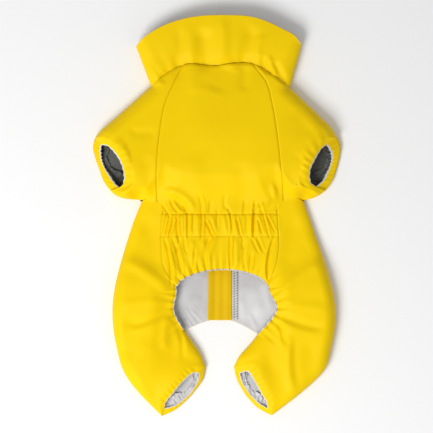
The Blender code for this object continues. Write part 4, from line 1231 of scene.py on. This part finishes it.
guard_y = (ZIP_LOW_Y - 0.4, GUARD_TOP_Y)
guard_above, allowance_above = GUARD_Z + 1.2, GUARD_Z + 0.9
# The guard's darker yellow is painted shade.
guard_looks, allowance_looks = (GUARD_PAINTED_SHADE, SILVER), (SILVER, SILVER)
guard = strip(
    "zip_guard_cloth", GUARD_X, guard_y, guard_above, guard_looks, 26, 280, GUARD_WALL, shape=guard_shape
)
allowance = strip(
    "guard_allowance",
    ALLOWANCE_X,
    guard_y,
    allowance_above,
    allowance_looks,
    6,
    280,
    ALLOWANCE_WALL,
    shape=allowance_shape,
)
trim = [declare(allowance, None)]
ys = np.linspace(guard_y[0] + 2.0, guard_y[1] - 2.0, 280)
for index, (x, size, look) in enumerate(
    (
        (20.6, (1.9, 0.7, 0.4), OVERLOCK),
        (24.0, (1.7, 0.6, 0.4), OVERLOCK),
        (17.2, (0.4, 1.9, 0.3), THREAD),
    )
):
    above = 1.35 if look is THREAD else 0.95 - allowance_drop(x)
    z = strip_face(np.full(280, x), ys, GUARD_Z + above)
    line = np.column_stack([np.full(280, x), ys + 0.9 * index, z])
    trim.append(declare(stitches(f"guard_stitches_{index}", line, TRIM_PITCH, size, look), None))
declare(guard, "zip_guard", (0.0295, 0.281), rests_on=backs, with_pieces=trim)

tape_y = (ZIP_LOW_Y, ZIP_TOP_Y)
tape_looks = (TAPE, TAPE)
for way, name in ((-1, "zip_tape_left"), (1, "zip_tape_right")):
    x_range = sorted((MIDDLE_X + way * ZIP_SLIT, MIDDLE_X + way * TAPE_HALF))
    shape = tape_shape(way)
    tape = strip(name + "_cloth", x_range, tape_y, TAPE_Z, tape_looks, 10, 180, TAPE_THICK, False, shape)
    declare(tape, name, (0.0138, 0.351), rests_on=backs)

teeth = []
for index, y in enumerate(np.arange(ZIP_LOW_Y + 2.0, CHAIN_TOP_Y, TOOTH_PITCH)):
    way = -1 if index % 2 else 1
    low = float(strip_face(np.array([MIDDLE_X]), np.array([y]), CHAIN_Z)[0])
    x0, x1 = sorted((MIDDLE_X - way * 0.8, MIDDLE_X + way * 2.4))
    teeth.append(((x0, y - 0.5, low), (x1, y + 0.5, low + 1.0)))
declare(blocks("zip_coil", teeth, (CHAIN,), 0.25), "zip_chain")

slider_z = COLLAR_LIFT + CHAIN_Z - 0.3
plate_top = COLLAR_LIFT + TAPE_Z + 1.3
bail_z = (slider_z - 3.4, slider_z - 0.7)
slider_boxes = (
    bar(SLIDER_HALF, SLIDER_Y, (slider_z - 1.0, slider_z)),
    bar(SLIDER_HALF, SLIDER_Y, (plate_top, plate_top + 1.0)),
    bar(0.6, (SLIDER_Y[0] + 6.0, SLIDER_Y[1] - 1.0), (slider_z - 0.3, plate_top + 0.3)),
    bar(BAIL_HALF, BAIL_Y, (slider_z - 3.5, slider_z - 2.8)),
    bar(BAIL_HALF, (BAIL_Y[0], BAIL_Y[0] + BAIL_BAR), bail_z),
    bar(BAIL_HALF, (BAIL_Y[1] - BAIL_BAR, BAIL_Y[1]), bail_z),
)
declare(blocks("zip_slider_body", slider_boxes, (METAL,), 0.25, 2), "zip_slider")

pull_z = slider_z - 1.9
arm_x = PULL_HALF - PULL_ARM / 2
arm_y = (PULL_AXIS_Y - 5.4, PULL_AXIS_Y + 0.3)
arm_z = (pull_z - 0.44, pull_z + 0.44)
pull_boxes = (
    bar(PULL_HALF, (PULL_AXIS_Y - PULL_LONG, PULL_AXIS_Y - 5.0), (pull_z - 0.45, pull_z + 0.45)),
    bar(PULL_ARM / 2, arm_y, arm_z, MIDDLE_X - arm_x),
    bar(PULL_ARM / 2, arm_y, arm_z, MIDDLE_X + arm_x),
    bar(PULL_HALF - 0.1, (PULL_AXIS_Y - 0.45, PULL_AXIS_Y + 0.45), (pull_z - 0.43, pull_z + 0.43)),
)
tab = blocks("zip_pull_tab", pull_boxes, (METAL,), 0.2, 2)
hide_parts("zip_pull")
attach(tab, "pull")

# ---------------------------------------------------------------- floor, light and camera

bm = bmesh.new()
bmesh.ops.create_grid(bm, x_segments=1, y_segments=1, size=4.0)
floor_look, floor_shader, _ = finish("floor_card", 0.9)
floor_shader.inputs["Base Color"].default_value = (0.93, 0.93, 0.93, 1.0)
floor = finish_mesh("floor", bm, (floor_look,), smooth=False)
floor.location.z = -0.0004

world = bpy.data.worlds.new("studio")
bpy.context.scene.world = world
world.use_nodes = True
world.node_tree.nodes["Background"].inputs["Color"].default_value = (1.0, 1.0, 1.0, 1.0)
world.node_tree.nodes["Background"].inputs["Strength"].default_value = 0.47


def softbox(name, place, aim, size, power):
    """A square soft lamp at one place, turned to another."""
    data = bpy.data.lights.new(name, "AREA")
    data.size = size
    data.energy = power
    lamp = bpy.data.objects.new(name, data)
    lamp.location = place
    lamp.rotation_euler = (Vector(aim) - Vector(place)).to_track_quat("-Z", "Y").to_euler()
    bpy.context.scene.collection.objects.link(lamp)


softbox("key_softbox", (-0.85, -1.0, 1.6), (0.0, 0.0, 0.0), 1.0, 32.0)

lens = bpy.data.cameras.new("camera")
lens.sensor_width = 36.0
lens.lens = 276.0
lens.clip_start = 0.1
lens.clip_end = 20.0
camera = bpy.data.objects.new("camera", lens)
camera.location = (-0.00044, -0.00051, 4.0)
bpy.context.scene.collection.objects.link(camera)
bpy.context.scene.camera = camera
bpy.context.scene.view_settings.view_transform = "Standard"
